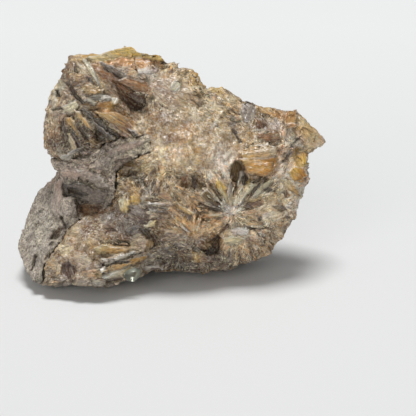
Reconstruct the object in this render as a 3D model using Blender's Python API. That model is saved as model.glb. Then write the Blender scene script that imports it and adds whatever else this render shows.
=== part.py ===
"""A daisy gypsum specimen: sprays of honey-coloured gypsum blades grown on a block of grey mudstone.

The specimen rests on a flat patch of its underside. Its broken face leans back from the viewer. Shapes on
that face are laid out on a drawing grid: columns run right, rows run down, and a depth in millimetres runs
into the stone along the line of sight. place() turns a grid position and a depth into a point in metres.
"""

import math

import bmesh
import bpy
import numpy as np
from mathutils import Matrix, Vector, noise
from mathutils.bvhtree import BVHTree
from mathutils.geometry import delaunay_2d_cdt, intersect_ray_tri

# Driving dimensions, in metres unless the name says otherwise.
GRID_STEP = 0.0003  # one column or row of the drawing grid, on the plane of depth 0
FACE_TILT = math.radians(18)  # how far the broken face leans back
SIGHT_DISTANCE = 0.42  # from the viewer to the plane of depth 0
CENTRE_COLUMN, CENTRE_ROW = 208, 208  # where the line of sight meets the drawing grid
FACE_ORIGIN = Vector((0, 0, 0.0262))  # that point, while the specimen is being built
CENTRING = Vector((0.01059, -0.02102, 0))  # brings the middle of the finished specimen onto the z axis
BODY_THICKNESS_MM = 31  # from the rim of the face to the middle of the back
GAP_MM = 0.35  # between the gypsum and the mudstone
STEPS_PER_MM = 0.001 / GRID_STEP
BODY_TRIANGLES = 3300
UNTANGLE_ROUNDS = 20

SIGHT = Vector((0, math.cos(FACE_TILT), -math.sin(FACE_TILT)))
FACE_UP = Vector((0, math.sin(FACE_TILT), math.cos(FACE_TILT)))

# The rim of the face, clockwise from the upper left corner: column, row, depth in mm.
RIM = [
    # Top edge, falling to the right.
    (64, 70, 14), (68, 59, 14), (80, 57, 14), (92, 57, 15), (106, 54, 16), (117, 49, 17), (125, 46, 18),
    (134, 47, 18), (141, 53, 18), (155, 56, 19), (166, 60, 20), (180, 66, 20), (192, 68, 21), (201, 72, 21),
    (203, 82, 20), (209, 89, 20), (225, 87, 21), (233, 93, 21), (243, 101, 20), (251, 99, 21), (263, 105, 22),
    (281, 110, 22), (296, 110, 21), (304, 118, 21), (313, 129, 20),
    # Right end.
    (322, 137, 19), (316, 145, 18), (304, 150, 16), (305, 165, 15), (308, 178, 14), (307, 196, 15),
    (301, 210, 15), (293, 226, 14), (283, 242, 13), (268, 256, 13), (248, 265, 12), (228, 271, 11),
    # Lower edge. It hangs a few millimetres over the ground, which the specimen meets further back.
    (210, 274, 10), (192, 275, 11), (176, 272, 11), (162, 273, 10), (146, 270, 7), (132, 275, 3), (118, 279, 0),
    (108, 287, -3), (90, 288, -4), (66, 287, -3), (46, 286, -1), (33, 280, 3.5), (23, 269, 8.5), (17, 259, 13),
    # Left side, with the notch between the foot and the upper block.
    (16, 241, 17), (25, 228, 18), (30, 211, 19), (38, 192, 20), (53, 181, 18), (58, 171, 14), (52, 160, 12),
    (44, 146, 12), (45, 133, 12), (46, 116, 12), (49, 100, 13), (54, 86, 13),
]

# The broken face inside the rim: column, row, depth in mm.
FACE = [
    # Ridge along the top.
    (100, 62, 11), (125, 62, 11), (150, 68, 11), (175, 78, 12), (200, 88, 14),
    # Upper left block.
    (70, 78, 9), (84, 74, 10), (62, 100, 8), (78, 96, 7), (58, 125, 6), (75, 115, 4.5), (76, 138, 4), (60, 146, 7),
    (90, 124, 5), (86, 152, 6), (72, 158, 6), (100, 140, 7),
    # Blades and hollow below the ridge.
    (100, 76, 8), (118, 82, 8), (110, 98, 6), (132, 104, 10), (140, 92, 10), (150, 100, 8), (130, 118, 6),
    (112, 118, 5), (118, 136, 8), (138, 134, 4),
    # Middle of the face.
    (160, 122, 4), (175, 98, 8), (198, 116, 6), (222, 104, 11), (226, 122, 9), (242, 132, 10), (184, 145, 1.5),
    (210, 148, 2), (160, 150, 1.5), (150, 172, 2), (180, 172, 0), (208, 174, 2),
    # Right end.
    (246, 114, 14), (262, 122, 12), (272, 138, 9), (292, 122, 14), (306, 136, 14), (290, 148, 10), (258, 147, 6),
    (298, 176, 10), (292, 200, 10), (276, 180, 6),
    # Large spray.
    (232, 216, 5), (216, 190, 4), (232, 176, 5), (256, 194, 4), (274, 208, 7), (206, 214, 1.5), (246, 230, 6),
    (270, 226, 9), (262, 244, 10), (240, 254, 9),
    # Small spray and the brush of blades beside it.
    (193, 236, 3), (178, 222, 0.5), (160, 212, 0), (142, 200, 0), (206, 232, 2), (216, 243, 7), (204, 252, 7),
    (176, 240, 0.5),
    # Olive hollow, mudstone ridge and ledge.
    (128, 168, 5), (130, 186, 2.5), (116, 156, 3), (136, 147, 3), (64, 166, 6), (86, 170, 4), (108, 180, 3),
    # Recess under the ledge.
    (64, 184, 11), (84, 190, 14), (100, 194, 12), (90, 210, 9), (70, 222, 5),
    # Foot: a smooth slope that turns away to the left.
    (58, 186, 11), (57, 202, 9.5), (58, 220, 7), (46, 214, 12), (36, 234, 11), (46, 242, 7), (38, 262, 6),
    (27, 248, 12), (48, 198, 15), (58, 236, 5),
    # Lower left crust.
    (74, 234, 2.5), (92, 228, 2.5), (62, 256, 0), (80, 250, -1), (66, 272, -2), (96, 270, -3), (104, 250, -0.5),
    (118, 264, -1), (134, 256, 1),
    # Dark crust in the lower middle.
    (116, 220, 4), (126, 204, 2), (138, 222, 4), (122, 238, 4), (152, 240, 3), (148, 256, 2.5),
    # Shaded slope above the lower edge.
    (170, 252, 3.5), (188, 258, 6), (166, 264, 7), (210, 264, 8), (228, 262, 9),
]

# Bare mudstone on the face: everything left of this outline that the gypsum doesn't cover.
BARE_STONE = [
    (40, 160), (58, 163), (76, 161), (98, 156), (104, 147), (124, 142), (146, 138), (148, 150), (124, 158),
    (114, 168), (113, 190), (109, 202), (84, 214), (66, 226), (60, 238), (50, 250), (42, 264), (37, 300),
    (-10, 300), (-10, 160),
]

# Pits (depth above 0) and knobs (below 0): column, row, half width, half height, turn in degrees, depth in mm.
RELIEF = [
    (134, 102, 13, 8, 40, 3.0),  # hollow under the dark wing
    (239, 174, 6, 14, 8, 3.5),  # slot under the amber plate
    (219, 194, 3.5, 11, -22, 2.5),  # slots between the blades of the large spray
    (209, 205, 12, 4, 24, 2.5),
    (252, 204, 12, 3.5, -18, 1.5),
    (213, 243, 7, 11, 20, 3.5),  # hole at the foot of the large spray
    (186, 181, 5, 7, 0, 2.0),
    (197, 181, 4, 7, 0, 2.0),
    (128, 168, 13, 8, -10, 1.2),  # olive hollow
    (90, 209, 13, 6, -5, 3.0),  # brown pocket beside the nodule
    (86, 192, 22, 9, 10, 2.5),  # recess under the ledge
    (70, 206, 10, 12, 0, -5.0),  # round nodule
    (58, 235, 6, 9, 35, 2.0),  # dark pits at the edge of the foot
    (67, 270, 6, 10, 0, 1.5),
    (66, 130, 5, 10, 10, 1.8),
    (100, 134, 6, 6, 0, 1.8),
    (57, 94, 3, 7, 10, 1.8),
    (122, 242, 11, 3, 0, 1.8),
    (150, 238, 4, 9, -50, 2.0),
    (262, 124, 7, 7, 0, 1.8),
    (126, 204, 7, 8, -20, -2.0),  # tooth-like lumps
    (148, 225, 8, 6, -25, -1.8),
    (144, 241, 8, 7, 0, -1.5),
    (290, 119, 7, 8, 0, -2.0),
    (300, 174, 7, 8, 0, -1.6),
    (33, 264, 2, 10, 12, 1.8),  # crack in the foot
]

# Single blades and plates: root column, row, lift; tip column, row, lift; widths in mm; thickness; roll. A roll
# near 90 stands the plate on edge, and a negative one brings its lower edge towards the viewer.
BLADES = [
    # Thin rails of the upper left, standing on edge.
    ((142, 132, -1.0), (84, 60, 0.2), (2.2, 3.2), 0.8, 72),
    ((128, 112, -0.8), (98, 80, 0.6), (2.0, 3.0), 0.7, 66),
    ((134, 140, -0.6), (80, 107, 0.6), (2.2, 3.0), 0.8, 68),
    ((148, 86, -0.6), (104, 64, 1.0), (2.2, 2.8), 0.8, 64),
    # Wings that overhang the hollows below them.
    ((152, 93, -0.6), (94, 68, 0.8), (6.0, 4.0), 1.2, -48),
    ((143, 139, -0.5), (100, 112, 1.2), (4.6, 4.2), 1.2, -42),
    ((146, 76, -0.4), (112, 68, 1.2), (3.4, 3.0), 1.2, -40),
    ((104, 92, -0.2), (86, 90, 1.0), (3.0, 3.6), 1.4, -30),
    ((119, 102, -0.2), (96, 104, 1.0), (2.6, 3.2), 1.6, 24),
    ((96, 104, -0.2), (80, 102, 1.2), (3.0, 3.6), 1.8, 10),
    # Slabs of the golden crest.
    ((128, 74, -0.6), (118, 50, 1.6), (8.0, 9.0), 2.4, 14),
    ((146, 76, -0.6), (140, 53, 1.6), (7.0, 8.0), 2.4, -12),
    ((172, 84, -0.4), (168, 63, 1.4), (7.0, 7.0), 2.0, 10),
    ((193, 94, -0.4), (192, 76, 0.8), (5.0, 5.0), 2.0, -12),
    # Amber plate over the large spray, and lumps at the right end.
    ((256, 147, -0.6), (254, 176, 2.2), (9.0, 7.0), 1.6, 6),
    ((268, 148, -0.6), (266, 172, 1.8), (6.0, 5.0), 1.6, -14),
    ((270, 116, -0.4), (272, 109, 1.2), (7.0, 6.0), 2.4, 0),
    ((290, 127, -0.4), (291, 112, 1.8), (5.0, 4.0), 2.6, 0),
    ((298, 160, -0.4), (299, 182, 1.6), (5.0, 4.4), 2.4, 0),
    ((300, 133, -0.6), (316, 138, 1.0), (4.6, 3.4), 2.6, 0),
    ((276, 140, -0.4), (262, 134, 1.0), (3.6, 3.6), 2.0, 0),
    # Slanting ledges of the lower left.
    ((152, 248, -0.6), (96, 263, 0.8), (2.6, 3.0), 1.0, -44),
    ((148, 257, -0.6), (90, 273, 0.8), (2.8, 3.2), 1.0, -40),
    ((140, 266, -0.6), (88, 281, 0.6), (2.6, 3.0), 1.0, -36),
    ((128, 247, -0.4), (92, 249, 0.8), (4.0, 3.4), 1.0, -26),
    # Teeth beside the dark crust of the lower middle.
    ((122, 196, -0.4), (128, 212, 1.4), (3.2, 2.4), 1.8, 20),
    ((154, 220, -0.4), (142, 229, 1.4), (3.0, 2.4), 1.8, -10),
]

# Sprays: centre column and row, first and last direction in degrees anticlockwise from right, count,
# shortest and longest blade in mm, how far the tips stand proud in mm.
SPRAYS = [
    (232, 216, 28, 150, 13, 12, 17, 0.9),
    (231, 217, 150, 195, 5, 15, 24, 0.7),
    (233, 218, -60, 28, 7, 8, 16, 0.7),
    (193, 236, 20, 160, 9, 6, 11, 0.8),
    (193, 237, 160, 215, 4, 9, 14, 0.6),
    (193, 237, 225, 340, 5, 4, 7, 0.6),
]


def place(column, row, depth_mm):
    """The point in metres at a drawing grid position and a depth along the line of sight."""
    depth = depth_mm * 0.001
    spread = GRID_STEP * (1 + depth / SIGHT_DISTANCE)
    across = (column - CENTRE_COLUMN) * spread
    upward = (CENTRE_ROW - row) * spread
    return FACE_ORIGIN + Vector((across, 0, 0)) + FACE_UP * upward + SIGHT * depth


def locate(point):
    """The column, row and depth in mm of a point in metres: the inverse of place()."""
    offset = point - FACE_ORIGIN
    depth = offset.dot(SIGHT)
    spread = GRID_STEP * (1 + depth / SIGHT_DISTANCE)
    column = CENTRE_COLUMN + offset.x / spread
    row = CENTRE_ROW - offset.dot(FACE_UP) / spread
    return column, row, depth * 1000


def thin_plate(points):
    """A smooth surface through (column, row, depth) points, as a function of column and row."""
    data = np.array(points, float)
    plan, depth = data[:, :2] / 100, data[:, 2]
    count = len(plan)

    def kernel(distance):
        return distance**2 * np.log(np.maximum(distance, 1e-6))

    system = np.zeros((count + 3, count + 3))
    system[:count, :count] = kernel(np.linalg.norm(plan[:, None] - plan[None], axis=2))
    system[:count, count] = 1
    system[:count, count + 1 :] = plan
    system[count:, :count] = system[:count, count:].T
    weights = np.linalg.solve(system, np.append(depth, [0, 0, 0]))

    def surface(column, row):
        here = np.array((column, row)) / 100
        bend = kernel(np.linalg.norm(plan - here, axis=1)) @ weights[:count]
        return float(bend + weights[count] + here @ weights[count + 1 :])

    return surface


face_depth = thin_plate(RIM + FACE)


def relief(column, row):
    """Depth in mm that the pits and knobs add at a drawing grid position."""
    total = 0.0
    for centre_column, centre_row, half_width, half_height, turn, depth in RELIEF:
        angle = math.radians(turn)
        across, down = column - centre_column, row - centre_row
        u = (across * math.cos(angle) + down * math.sin(angle)) / half_width
        v = (down * math.cos(angle) - across * math.sin(angle)) / half_height
        reach = math.hypot(u, v)
        if reach < 1.35:
            share = min(1.0, (1.35 - reach) / 0.7)
            total += depth * share * share * (3 - 2 * share)
    return total


def new_object(name, mesh):
    """Links a mesh to the scene as a named object."""
    obj = bpy.data.objects.new(name, mesh)
    bpy.context.scene.collection.objects.link(obj)
    return obj


def object_from_bmesh(name, shape):
    """Turns a bmesh into a linked object and frees it."""
    mesh = bpy.data.meshes.new(name)
    shape.to_mesh(mesh)
    shape.free()
    return new_object(name, mesh)


def add_modifier(obj, kind, **settings):
    """Adds a modifier with these settings."""
    modifier = obj.modifiers.new(kind.title(), kind)
    for key, value in settings.items():
        setattr(modifier, key, value)
    return modifier


def apply_modifiers(obj):
    """Replaces the object's mesh by its evaluated one."""
    evaluated = obj.evaluated_get(bpy.context.evaluated_depsgraph_get())
    mesh = bpy.data.meshes.new_from_object(evaluated)
    obj.modifiers.clear()
    obj.data = mesh


def combine(obj, other, operation):
    """Applies a Boolean of obj with other, then removes other."""
    add_modifier(obj, "BOOLEAN", operation=operation, object=other, solver="EXACT")
    apply_modifiers(obj)
    bpy.data.objects.remove(other)


def front_sheet(shape):
    """The broken face as triangles between the rim and face points. Returns the rim's vertices in order."""
    points = RIM + FACE
    rim_edges = [(i, (i + 1) % len(RIM)) for i in range(len(RIM))]
    plan = [Vector((column, row)) for column, row, _ in points]
    corners, _, triangles, origins, _, _ = delaunay_2d_cdt(plan, rim_edges, [], 1, 1e-3)
    verts = []
    for corner, origin in zip(corners, origins):
        depth = points[origin[0]][2] if origin else face_depth(*corner)
        verts.append(shape.verts.new(place(corner.x, corner.y, depth)))
    for triangle in triangles:
        shape.faces.new([verts[i] for i in triangle])
    where = {origin[0]: vert for origin, vert in zip(origins, verts) if origin}
    return [where[i] for i in range(len(RIM))]


def back_rings(shape, rim):
    """Closes the body behind the rim with shrinking rings. Each is (share of the outline, depth share)."""
    middle_column, middle_row, back_depth = 168, 172, 16 + BODY_THICKNESS_MM
    rings = [(0.99, 0.22), (0.955, 0.45), (0.88, 0.68), (0.74, 0.86), (0.5, 0.97)]
    previous = rim
    for share, sink in rings:
        ring = []
        for column, row, depth in RIM:
            lump = noise.noise(Vector((column, row, sink * 90)) * 0.021)
            inset = share - 0.10 * sink * max(0.0, lump)
            level = depth + (back_depth - depth) * sink * (1 + 0.10 * lump)
            at_column = middle_column + (column - middle_column) * inset
            at_row = middle_row + (row - middle_row) * inset
            ring.append(shape.verts.new(place(at_column, at_row, level)))
        for i in range(len(RIM)):
            j = (i + 1) % len(RIM)
            shape.faces.new((previous[i], previous[j], ring[j], ring[i]))
        previous = ring
    crown = shape.verts.new(place(middle_column, middle_row, back_depth))
    for i in range(len(RIM)):
        shape.faces.new((previous[i], previous[(i + 1) % len(RIM)], crown))


def break_back(shape):
    """Flattens the back and sides against fracture planes: point on the plane, and its outward direction."""
    planes = [
        ((300, 120, 42), Vector((0.75, 0.6, 0.25))),
        ((150, 60, 42), Vector((-0.2, 0.6, 0.8))),
        ((60, 120, 40), Vector((-0.75, 0.65, 0.3))),
        ((240, 250, 40), Vector((0.5, 0.75, -0.35))),
        ((60, 240, 44), Vector((-0.5, 0.8, -0.2))),
    ]
    for spot, direction in planes:
        point, normal = place(*spot), direction.normalized()
        for vert in shape.verts:
            beyond = (vert.co - point).dot(normal)
            if beyond > 0:
                vert.co -= normal * beyond


def terraces(height):
    """Turns a smooth height into flat treads with steep risers between them."""
    tread = math.floor(height)
    share = min(1.0, max(0.0, (height - tread - 0.35) / 0.3))
    return tread + share * share * (3 - 2 * share)


def roughen(obj):
    """Adds the pits and knobs of the face, grains between them, and terraced breaks on the back and sides."""
    shape = bmesh.new()
    shape.from_mesh(obj.data)
    shape.normal_update()
    facings = []
    for vert in shape.verts:
        column, row, _ = locate(vert.co)
        facing = max(0.0, min(1.0, -vert.normal.dot(SIGHT) * 2))
        spot = (vert.co - FACE_ORIGIN) * 1000
        lumps = noise.noise(spot * 0.13) * 0.8 + noise.noise(spot * 0.31) * 0.5
        steps = terraces(noise.noise(spot * Vector((0.05, 0.05, 0.08))) * 4) * 0.9
        near, next_near = noise.voronoi(spot * 0.22)[0][:2]
        grains = min(0.45, next_near - near) * 3.2
        vert.co += SIGHT * (0.001 * facing * (relief(column, row) - grains + 0.6))
        vert.co += vert.normal * (0.001 * ((1 - facing) * (steps + lumps * 0.6) + facing * lumps * 0.7 - 0.3))
        facings.append(facing)
    shape.to_mesh(obj.data)
    shape.free()
    group = obj.vertex_groups.new(name="back")
    for index, facing in enumerate(facings):
        group.add([index], 1 - 0.4 * facing, "REPLACE")


def pierces(edge, face):
    """Whether an edge, given as two vertices, passes through a triangle."""
    start, along = edge[0].co, edge[1].co - edge[0].co
    hit = intersect_ray_tri(*[vert.co for vert in face.verts], along, start, True)
    return hit is not None and 0 < (hit - start).dot(along) < along.length_squared


def crosses(first, second):
    """Whether two triangles that overlap in space do more than share an edge or a corner."""
    shared = set(first.verts) & set(second.verts)
    if len(shared) != 1:
        return not shared
    sides = [[vert for vert in face.verts if vert not in shared] for face in (first, second)]
    return pierces(sides[0], second) or pierces(sides[1], first)


def untangle(obj):
    """Relaxes the corners of triangles that cross each other until none do."""
    shape = bmesh.new()
    shape.from_mesh(obj.data)
    bmesh.ops.triangulate(shape, faces=shape.faces[:])
    for _ in range(UNTANGLE_ROUNDS):
        shape.faces.ensure_lookup_table()
        tree = BVHTree.FromBMesh(shape)
        pairs = [(shape.faces[i], shape.faces[j]) for i, j in tree.overlap(tree) if i < j]
        tangled = {vert for pair in pairs if crosses(*pair) for face in pair for vert in face.verts}
        for vert in sorted(tangled, key=lambda item: item.index):
            around = [edge.other_vert(vert).co for edge in vert.link_edges]
            vert.co = vert.co.lerp(sum(around, Vector()) / len(around), 0.6)
        if not tangled:
            break
    shape.to_mesh(obj.data)
    shape.free()


def body():
    """The whole specimen before it is parted into gypsum and mudstone."""
    shape = bmesh.new()
    back_rings(shape, front_sheet(shape))
    bmesh.ops.recalc_face_normals(shape, faces=shape.faces[:])
    break_back(shape)
    obj = object_from_bmesh("body", shape)
    add_modifier(obj, "REMESH", mode="VOXEL", voxel_size=0.0011, adaptivity=0.0)
    apply_modifiers(obj)
    roughen(obj)
    ratio = BODY_TRIANGLES / (2 * len(obj.data.polygons))
    add_modifier(obj, "DECIMATE", ratio=ratio, use_collapse_triangulate=True, vertex_group="back")
    apply_modifiers(obj)
    untangle(obj)
    return obj


def ground_block():
    """Everything below the plane that the specimen rests on."""
    shape = bmesh.new()
    bmesh.ops.create_cube(shape, size=0.3)
    bmesh.ops.translate(shape, verts=shape.verts[:], vec=(0, 0, -0.15))
    return object_from_bmesh("ground", shape)


def offset_outline(outline, steps):
    """The outline moved outwards by this many grid steps, corner by corner."""
    moved = []
    count = len(outline)
    turning = sum(
        outline[i][0] * outline[(i + 1) % count][1] - outline[(i + 1) % count][0] * outline[i][1]
        for i in range(count)
    )
    outward = 1 if turning > 0 else -1
    for i in range(count):
        before, here, after = (Vector(outline[(i + k) % count]) for k in (-1, 0, 1))
        sides = [(here - before).normalized(), (after - here).normalized()]
        normals = [Vector((side.y, -side.x)) * outward for side in sides]
        mean = (normals[0] + normals[1]).normalized()
        moved.append(here + mean * steps / max(0.5, mean.dot(normals[0])))
    return moved


def inside(column, row, outline):
    """Whether a grid position lies inside a closed outline."""
    found = False
    for (x0, y0), (x1, y1) in zip(outline, outline[1:] + outline[:1]):
        if (y0 > row) != (y1 > row) and column < x0 + (row - y0) / (y1 - y0) * (x1 - x0):
            found = not found
    return found


def distance_to(column, row, outline):
    """Distance in grid steps from a position to a closed outline."""
    here, nearest = Vector((column, row)), math.inf
    for start, end in zip(outline, outline[1:] + outline[:1]):
        start, end = Vector(start), Vector(end)
        along = end - start
        share = max(0.0, min(1.0, (here - start).dot(along) / along.length_squared))
        nearest = min(nearest, (here - start - along * share).length)
    return nearest


def crust_thickness(column, row):
    """Thickness in mm of the gypsum, thin beside the bare stone and full away from it."""
    share = min(1.0, distance_to(column, row, BARE_STONE) / 60)
    return 3.8 + 6.0 * share * share * (3 - 2 * share)


def stone_space(name, gap_mm):
    """The space behind the gypsum, open over the bare stone. A gap moves its front towards the viewer."""
    gap_steps = gap_mm * STEPS_PER_MM
    stone_edge = [tuple(p) for p in offset_outline(BARE_STONE, gap_steps)]
    crust_edge = [tuple(p) for p in offset_outline(BARE_STONE, gap_steps + 3)]
    frame = [(-30, 20), (350, 20), (350, 320), (-30, 320)]
    points = [(column, row, -9.0) for column, row in stone_edge]
    points += [(c, r, face_depth(c, r) + crust_thickness(c, r)) for c, r in crust_edge]
    points += [(c, r, face_depth(c, r) + 9) for c, r in frame]
    loops = [len(stone_edge), len(crust_edge), len(frame)]
    edges, first = [], 0
    for length in loops:
        edges += [(first + i, first + (i + 1) % length) for i in range(length)]
        first += length
    for row in range(45, 300, 27):
        for column in range(15, 335, 27):
            if inside(column, row, crust_edge):
                continue
            if distance_to(column, row, crust_edge) > 10:
                points.append((column, row, face_depth(column, row) + crust_thickness(column, row)))
    plan = [Vector((column, row)) for column, row, _ in points]
    corners, _, triangles, origins, _, _ = delaunay_2d_cdt(plan, edges, [], 0, 1e-3)
    shape = bmesh.new()
    verts = []
    for corner, origin in zip(corners, origins):
        depth = points[origin[0]][2] if origin else -9.0
        verts.append(shape.verts.new(place(corner.x, corner.y, depth - gap_mm)))
    for triangle in triangles:
        shape.faces.new([verts[i] for i in triangle])
    front = shape.faces[:]
    pushed = bmesh.ops.extrude_face_region(shape, geom=front)["geom"]
    for vert in (item for item in pushed if isinstance(item, bmesh.types.BMVert)):
        column, row, _ = locate(vert.co)
        vert.co = place(column, row, 90)
    bmesh.ops.delete(shape, geom=[face for face in front if not face.is_valid], context="FACES")
    bmesh.ops.recalc_face_normals(shape, faces=shape.faces[:])
    return object_from_bmesh(name, shape)


def surface_point(column, row, lift_mm):
    """A point this far in front of the face."""
    return place(column, row, face_depth(column, row) + relief(column, row) - lift_mm)


def add_blade(shape, root, tip, widths_mm, thickness_mm, roll_degrees):
    """Adds one flat-faced crystal: a hexagonal bar from root to tip that ends in a chisel."""
    along = (tip - root).normalized()
    side = along.cross(SIGHT).normalized()
    lift = side.cross(along)
    roll = math.radians(roll_degrees)
    side, lift = side * math.cos(roll) + lift * math.sin(roll), lift * math.cos(roll) - side * math.sin(roll)
    corners = []
    for share, width in ((0.0, widths_mm[0]), (0.8, widths_mm[1])):
        centre = root.lerp(tip, share)
        half = side * (width * 0.0005)
        spine = lift * (thickness_mm * 0.0005)
        corners += [centre + half, centre - half, centre + spine, centre - spine]
    chisel = side * (widths_mm[1] * 0.0003)
    corners += [tip + chisel, tip - chisel]
    verts = [shape.verts.new(corner) for corner in corners]
    hull = bmesh.ops.convex_hull(shape, input=verts)
    bmesh.ops.delete(shape, geom=hull["geom_interior"], context="VERTS")


def single_blades():
    """The large blades and plates, each as its own small mesh."""
    for root, tip, widths, thickness, roll in BLADES:
        shape = bmesh.new()
        add_blade(shape, surface_point(*root), surface_point(*tip), widths, thickness, roll)
        yield object_from_bmesh("blade", shape)


def spray_blades():
    """The blades of the radiating sprays, wide at their tips and crowded at the centre."""
    for number, (column, row, first, last, count, shortest, longest, proud) in enumerate(SPRAYS):
        for i in range(count):
            wobble = noise.noise(Vector((number * 7.3, i * 1.7, 0.5)))
            other = noise.noise(Vector((number * 3.1, i * 2.3, 9.5)))
            angle = math.radians(first + (last - first) * (i + 0.5 + 0.6 * wobble) / count)
            reach = (shortest + (longest - shortest) * (0.5 + other)) * STEPS_PER_MM
            right, down = math.cos(angle), -math.sin(angle)
            root = surface_point(column + right * 4, row + down * 4, -0.6)
            tip = surface_point(column + right * reach, row + down * reach, proud * (0.7 + other))
            shape = bmesh.new()
            add_blade(shape, root, tip, (0.9, 3.0 + wobble), 1.3, 90 * wobble)
            yield object_from_bmesh("blade", shape)


def keep_largest_shell(obj):
    """Drops loose crumbs and enclosed pockets, keeping the shell with the most faces."""
    shape = bmesh.new()
    shape.from_mesh(obj.data)
    shells, waiting = [], set(shape.faces)
    while waiting:
        shell, front = [], [waiting.pop()]
        while front:
            face = front.pop()
            shell.append(face)
            for edge in face.edges:
                for other in edge.link_faces:
                    if other in waiting:
                        waiting.remove(other)
                        front.append(other)
        shells.append(shell)
    largest = max(shells, key=len)
    for shell in shells:
        if shell is not largest:
            bmesh.ops.delete(shape, geom=shell, context="FACES")
    loose = [vert for vert in shape.verts if not vert.link_faces]
    bmesh.ops.delete(shape, geom=loose, context="VERTS")
    bmesh.ops.dissolve_degenerate(shape, dist=1e-6, edges=shape.edges[:])
    bmesh.ops.triangulate(shape, faces=shape.faces[:])
    shape.to_mesh(obj.data)
    shape.free()


def material(name, colour, roughness):
    """A plain stone or crystal material."""
    made = bpy.data.materials.new(name)
    made.use_nodes = True
    shader = made.node_tree.nodes["Principled BSDF"]
    shader.inputs["Base Color"].default_value = (*colour, 1)
    shader.inputs["Roughness"].default_value = roughness
    shader.inputs["Metallic"].default_value = 0.0
    return made


def part_specimen():
    """Parts the body into the gypsum, with its blades, and the mudstone behind it."""
    whole = body()
    combine(whole, ground_block(), "DIFFERENCE")
    mudstone = new_object("mudstone", whole.data.copy())
    combine(mudstone, stone_space("stone_space", 0.0), "INTERSECT")
    gypsum = new_object("gypsum", whole.data.copy())
    for blade in [*single_blades(), *spray_blades()]:
        combine(gypsum, blade, "UNION")
    combine(gypsum, stone_space("crust_cutter", GAP_MM), "DIFFERENCE")
    combine(gypsum, ground_block(), "DIFFERENCE")
    bpy.data.objects.remove(whole)
    for obj in (gypsum, mudstone):
        keep_largest_shell(obj)
    return gypsum, mudstone


def main():
    """Builds the specimen's two pieces."""
    for obj in list(bpy.data.objects):
        bpy.data.objects.remove(obj)
    gypsum, mudstone = part_specimen()
    for obj in (gypsum, mudstone):
        obj.data.transform(Matrix.Translation(CENTRING))
    gypsum.data.materials.clear()
    gypsum.data.materials.append(material("honey_gypsum", (0.46, 0.33, 0.16), 0.35))
    mudstone.data.materials.clear()
    mudstone.data.materials.append(material("grey_mudstone", (0.27, 0.24, 0.22), 0.85))


main()
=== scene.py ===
"""Looks of the daisy gypsum specimen: honey gypsum in radiating blades on grey-mauve mudstone.

Shapes and colours of the broken face are laid out on a drawing grid. Columns run right and rows run down,
0.3 mm to a step, and a depth in millimetres runs into the stone along the line of sight.
"""

import math

import bmesh
import bpy
import numpy as np
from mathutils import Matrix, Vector
from mathutils.bvhtree import BVHTree


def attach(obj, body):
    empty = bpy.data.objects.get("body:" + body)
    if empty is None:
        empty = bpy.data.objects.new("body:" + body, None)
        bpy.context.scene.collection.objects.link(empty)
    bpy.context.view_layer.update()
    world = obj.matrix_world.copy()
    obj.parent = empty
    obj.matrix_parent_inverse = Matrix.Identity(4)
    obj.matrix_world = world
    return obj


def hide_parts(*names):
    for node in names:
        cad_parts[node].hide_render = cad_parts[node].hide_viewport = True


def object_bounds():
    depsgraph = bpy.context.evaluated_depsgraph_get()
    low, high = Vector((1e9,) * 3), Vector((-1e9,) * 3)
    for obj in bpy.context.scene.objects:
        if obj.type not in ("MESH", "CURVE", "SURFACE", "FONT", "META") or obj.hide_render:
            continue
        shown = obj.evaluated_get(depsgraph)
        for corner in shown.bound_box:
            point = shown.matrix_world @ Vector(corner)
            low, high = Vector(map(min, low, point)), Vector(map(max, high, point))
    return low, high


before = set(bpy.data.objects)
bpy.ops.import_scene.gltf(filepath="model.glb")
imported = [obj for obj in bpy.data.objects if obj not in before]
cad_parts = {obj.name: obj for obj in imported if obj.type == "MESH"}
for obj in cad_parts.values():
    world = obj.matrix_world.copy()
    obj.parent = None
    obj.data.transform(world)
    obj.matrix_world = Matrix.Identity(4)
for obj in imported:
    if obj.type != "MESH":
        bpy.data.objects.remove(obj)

CAD_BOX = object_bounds()
MM = 0.001

# The drawing grid, the same as in the part's source.
GRID_STEP = 0.0003
FACE_TILT = math.radians(18)
SIGHT_DISTANCE = 0.42
CENTRE = 208
FACE_ORIGIN = np.array((0.01059, -0.02102, 0.0262))
SIGHT = np.array((0, math.cos(FACE_TILT), -math.sin(FACE_TILT)))
FACE_RIGHT = np.array((1.0, 0.0, 0.0))
FACE_UP = np.array((0, math.sin(FACE_TILT), math.cos(FACE_TILT)))
EYE = FACE_ORIGIN - SIGHT * SIGHT_DISTANCE

# The camera's sensor and the width that it sees at the face.
SENSOR_MM = 36
FRAME_WIDTH = 416 * GRID_STEP

# How finely the two pieces are meshed, and how many triangles each may have.
GYPSUM_VOXEL = 0.00036
MUDSTONE_VOXEL = 0.00045
PIECE_TRIANGLES = 190000

# Named colours as they look in plain daylight, red, green and blue from 0 to 255.
PALETTE = {
    "white": (244, 240, 232), "cream": (218, 207, 174), "straw": (204, 183, 131), "honey": (196, 153, 88),
    "gold": (212, 173, 80), "amber": (194, 137, 62), "orange": (196, 142, 90), "rust": (132, 88, 54),
    "brown": (126, 90, 62), "dark": (54, 42, 34), "olive": (120, 97, 58), "tan": (168, 143, 110),
    "grey": (156, 150, 138), "lilac": (160, 147, 138), "mauve": (138, 126, 118), "slate": (104, 96, 92),
    "blush": (176, 152, 138), "russet": (156, 112, 72), "umber": (80, 55, 40), "plum": (92, 71, 68),
}

# What brown and pale clouds multiply red, green and blue by, and each cloud's size in mm, seed and strength.
BROWNING = np.array((0.82, 0.66, 0.5))
PALING = np.array((1.2, 1.21, 1.26))
CLOUDS = [(3.6, 101, 1.0), (1.5, 105, 0.7)]

# What colours are pulled towards, crystal by crystal, and how strongly: dark, bright and chosen ones.
CRYSTAL_HUES = {"rust": 0.5, "white": 0.6, "honey": 0.35}
# How bright a crystal may get at most.
BRIGHTEST = 0.85

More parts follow.
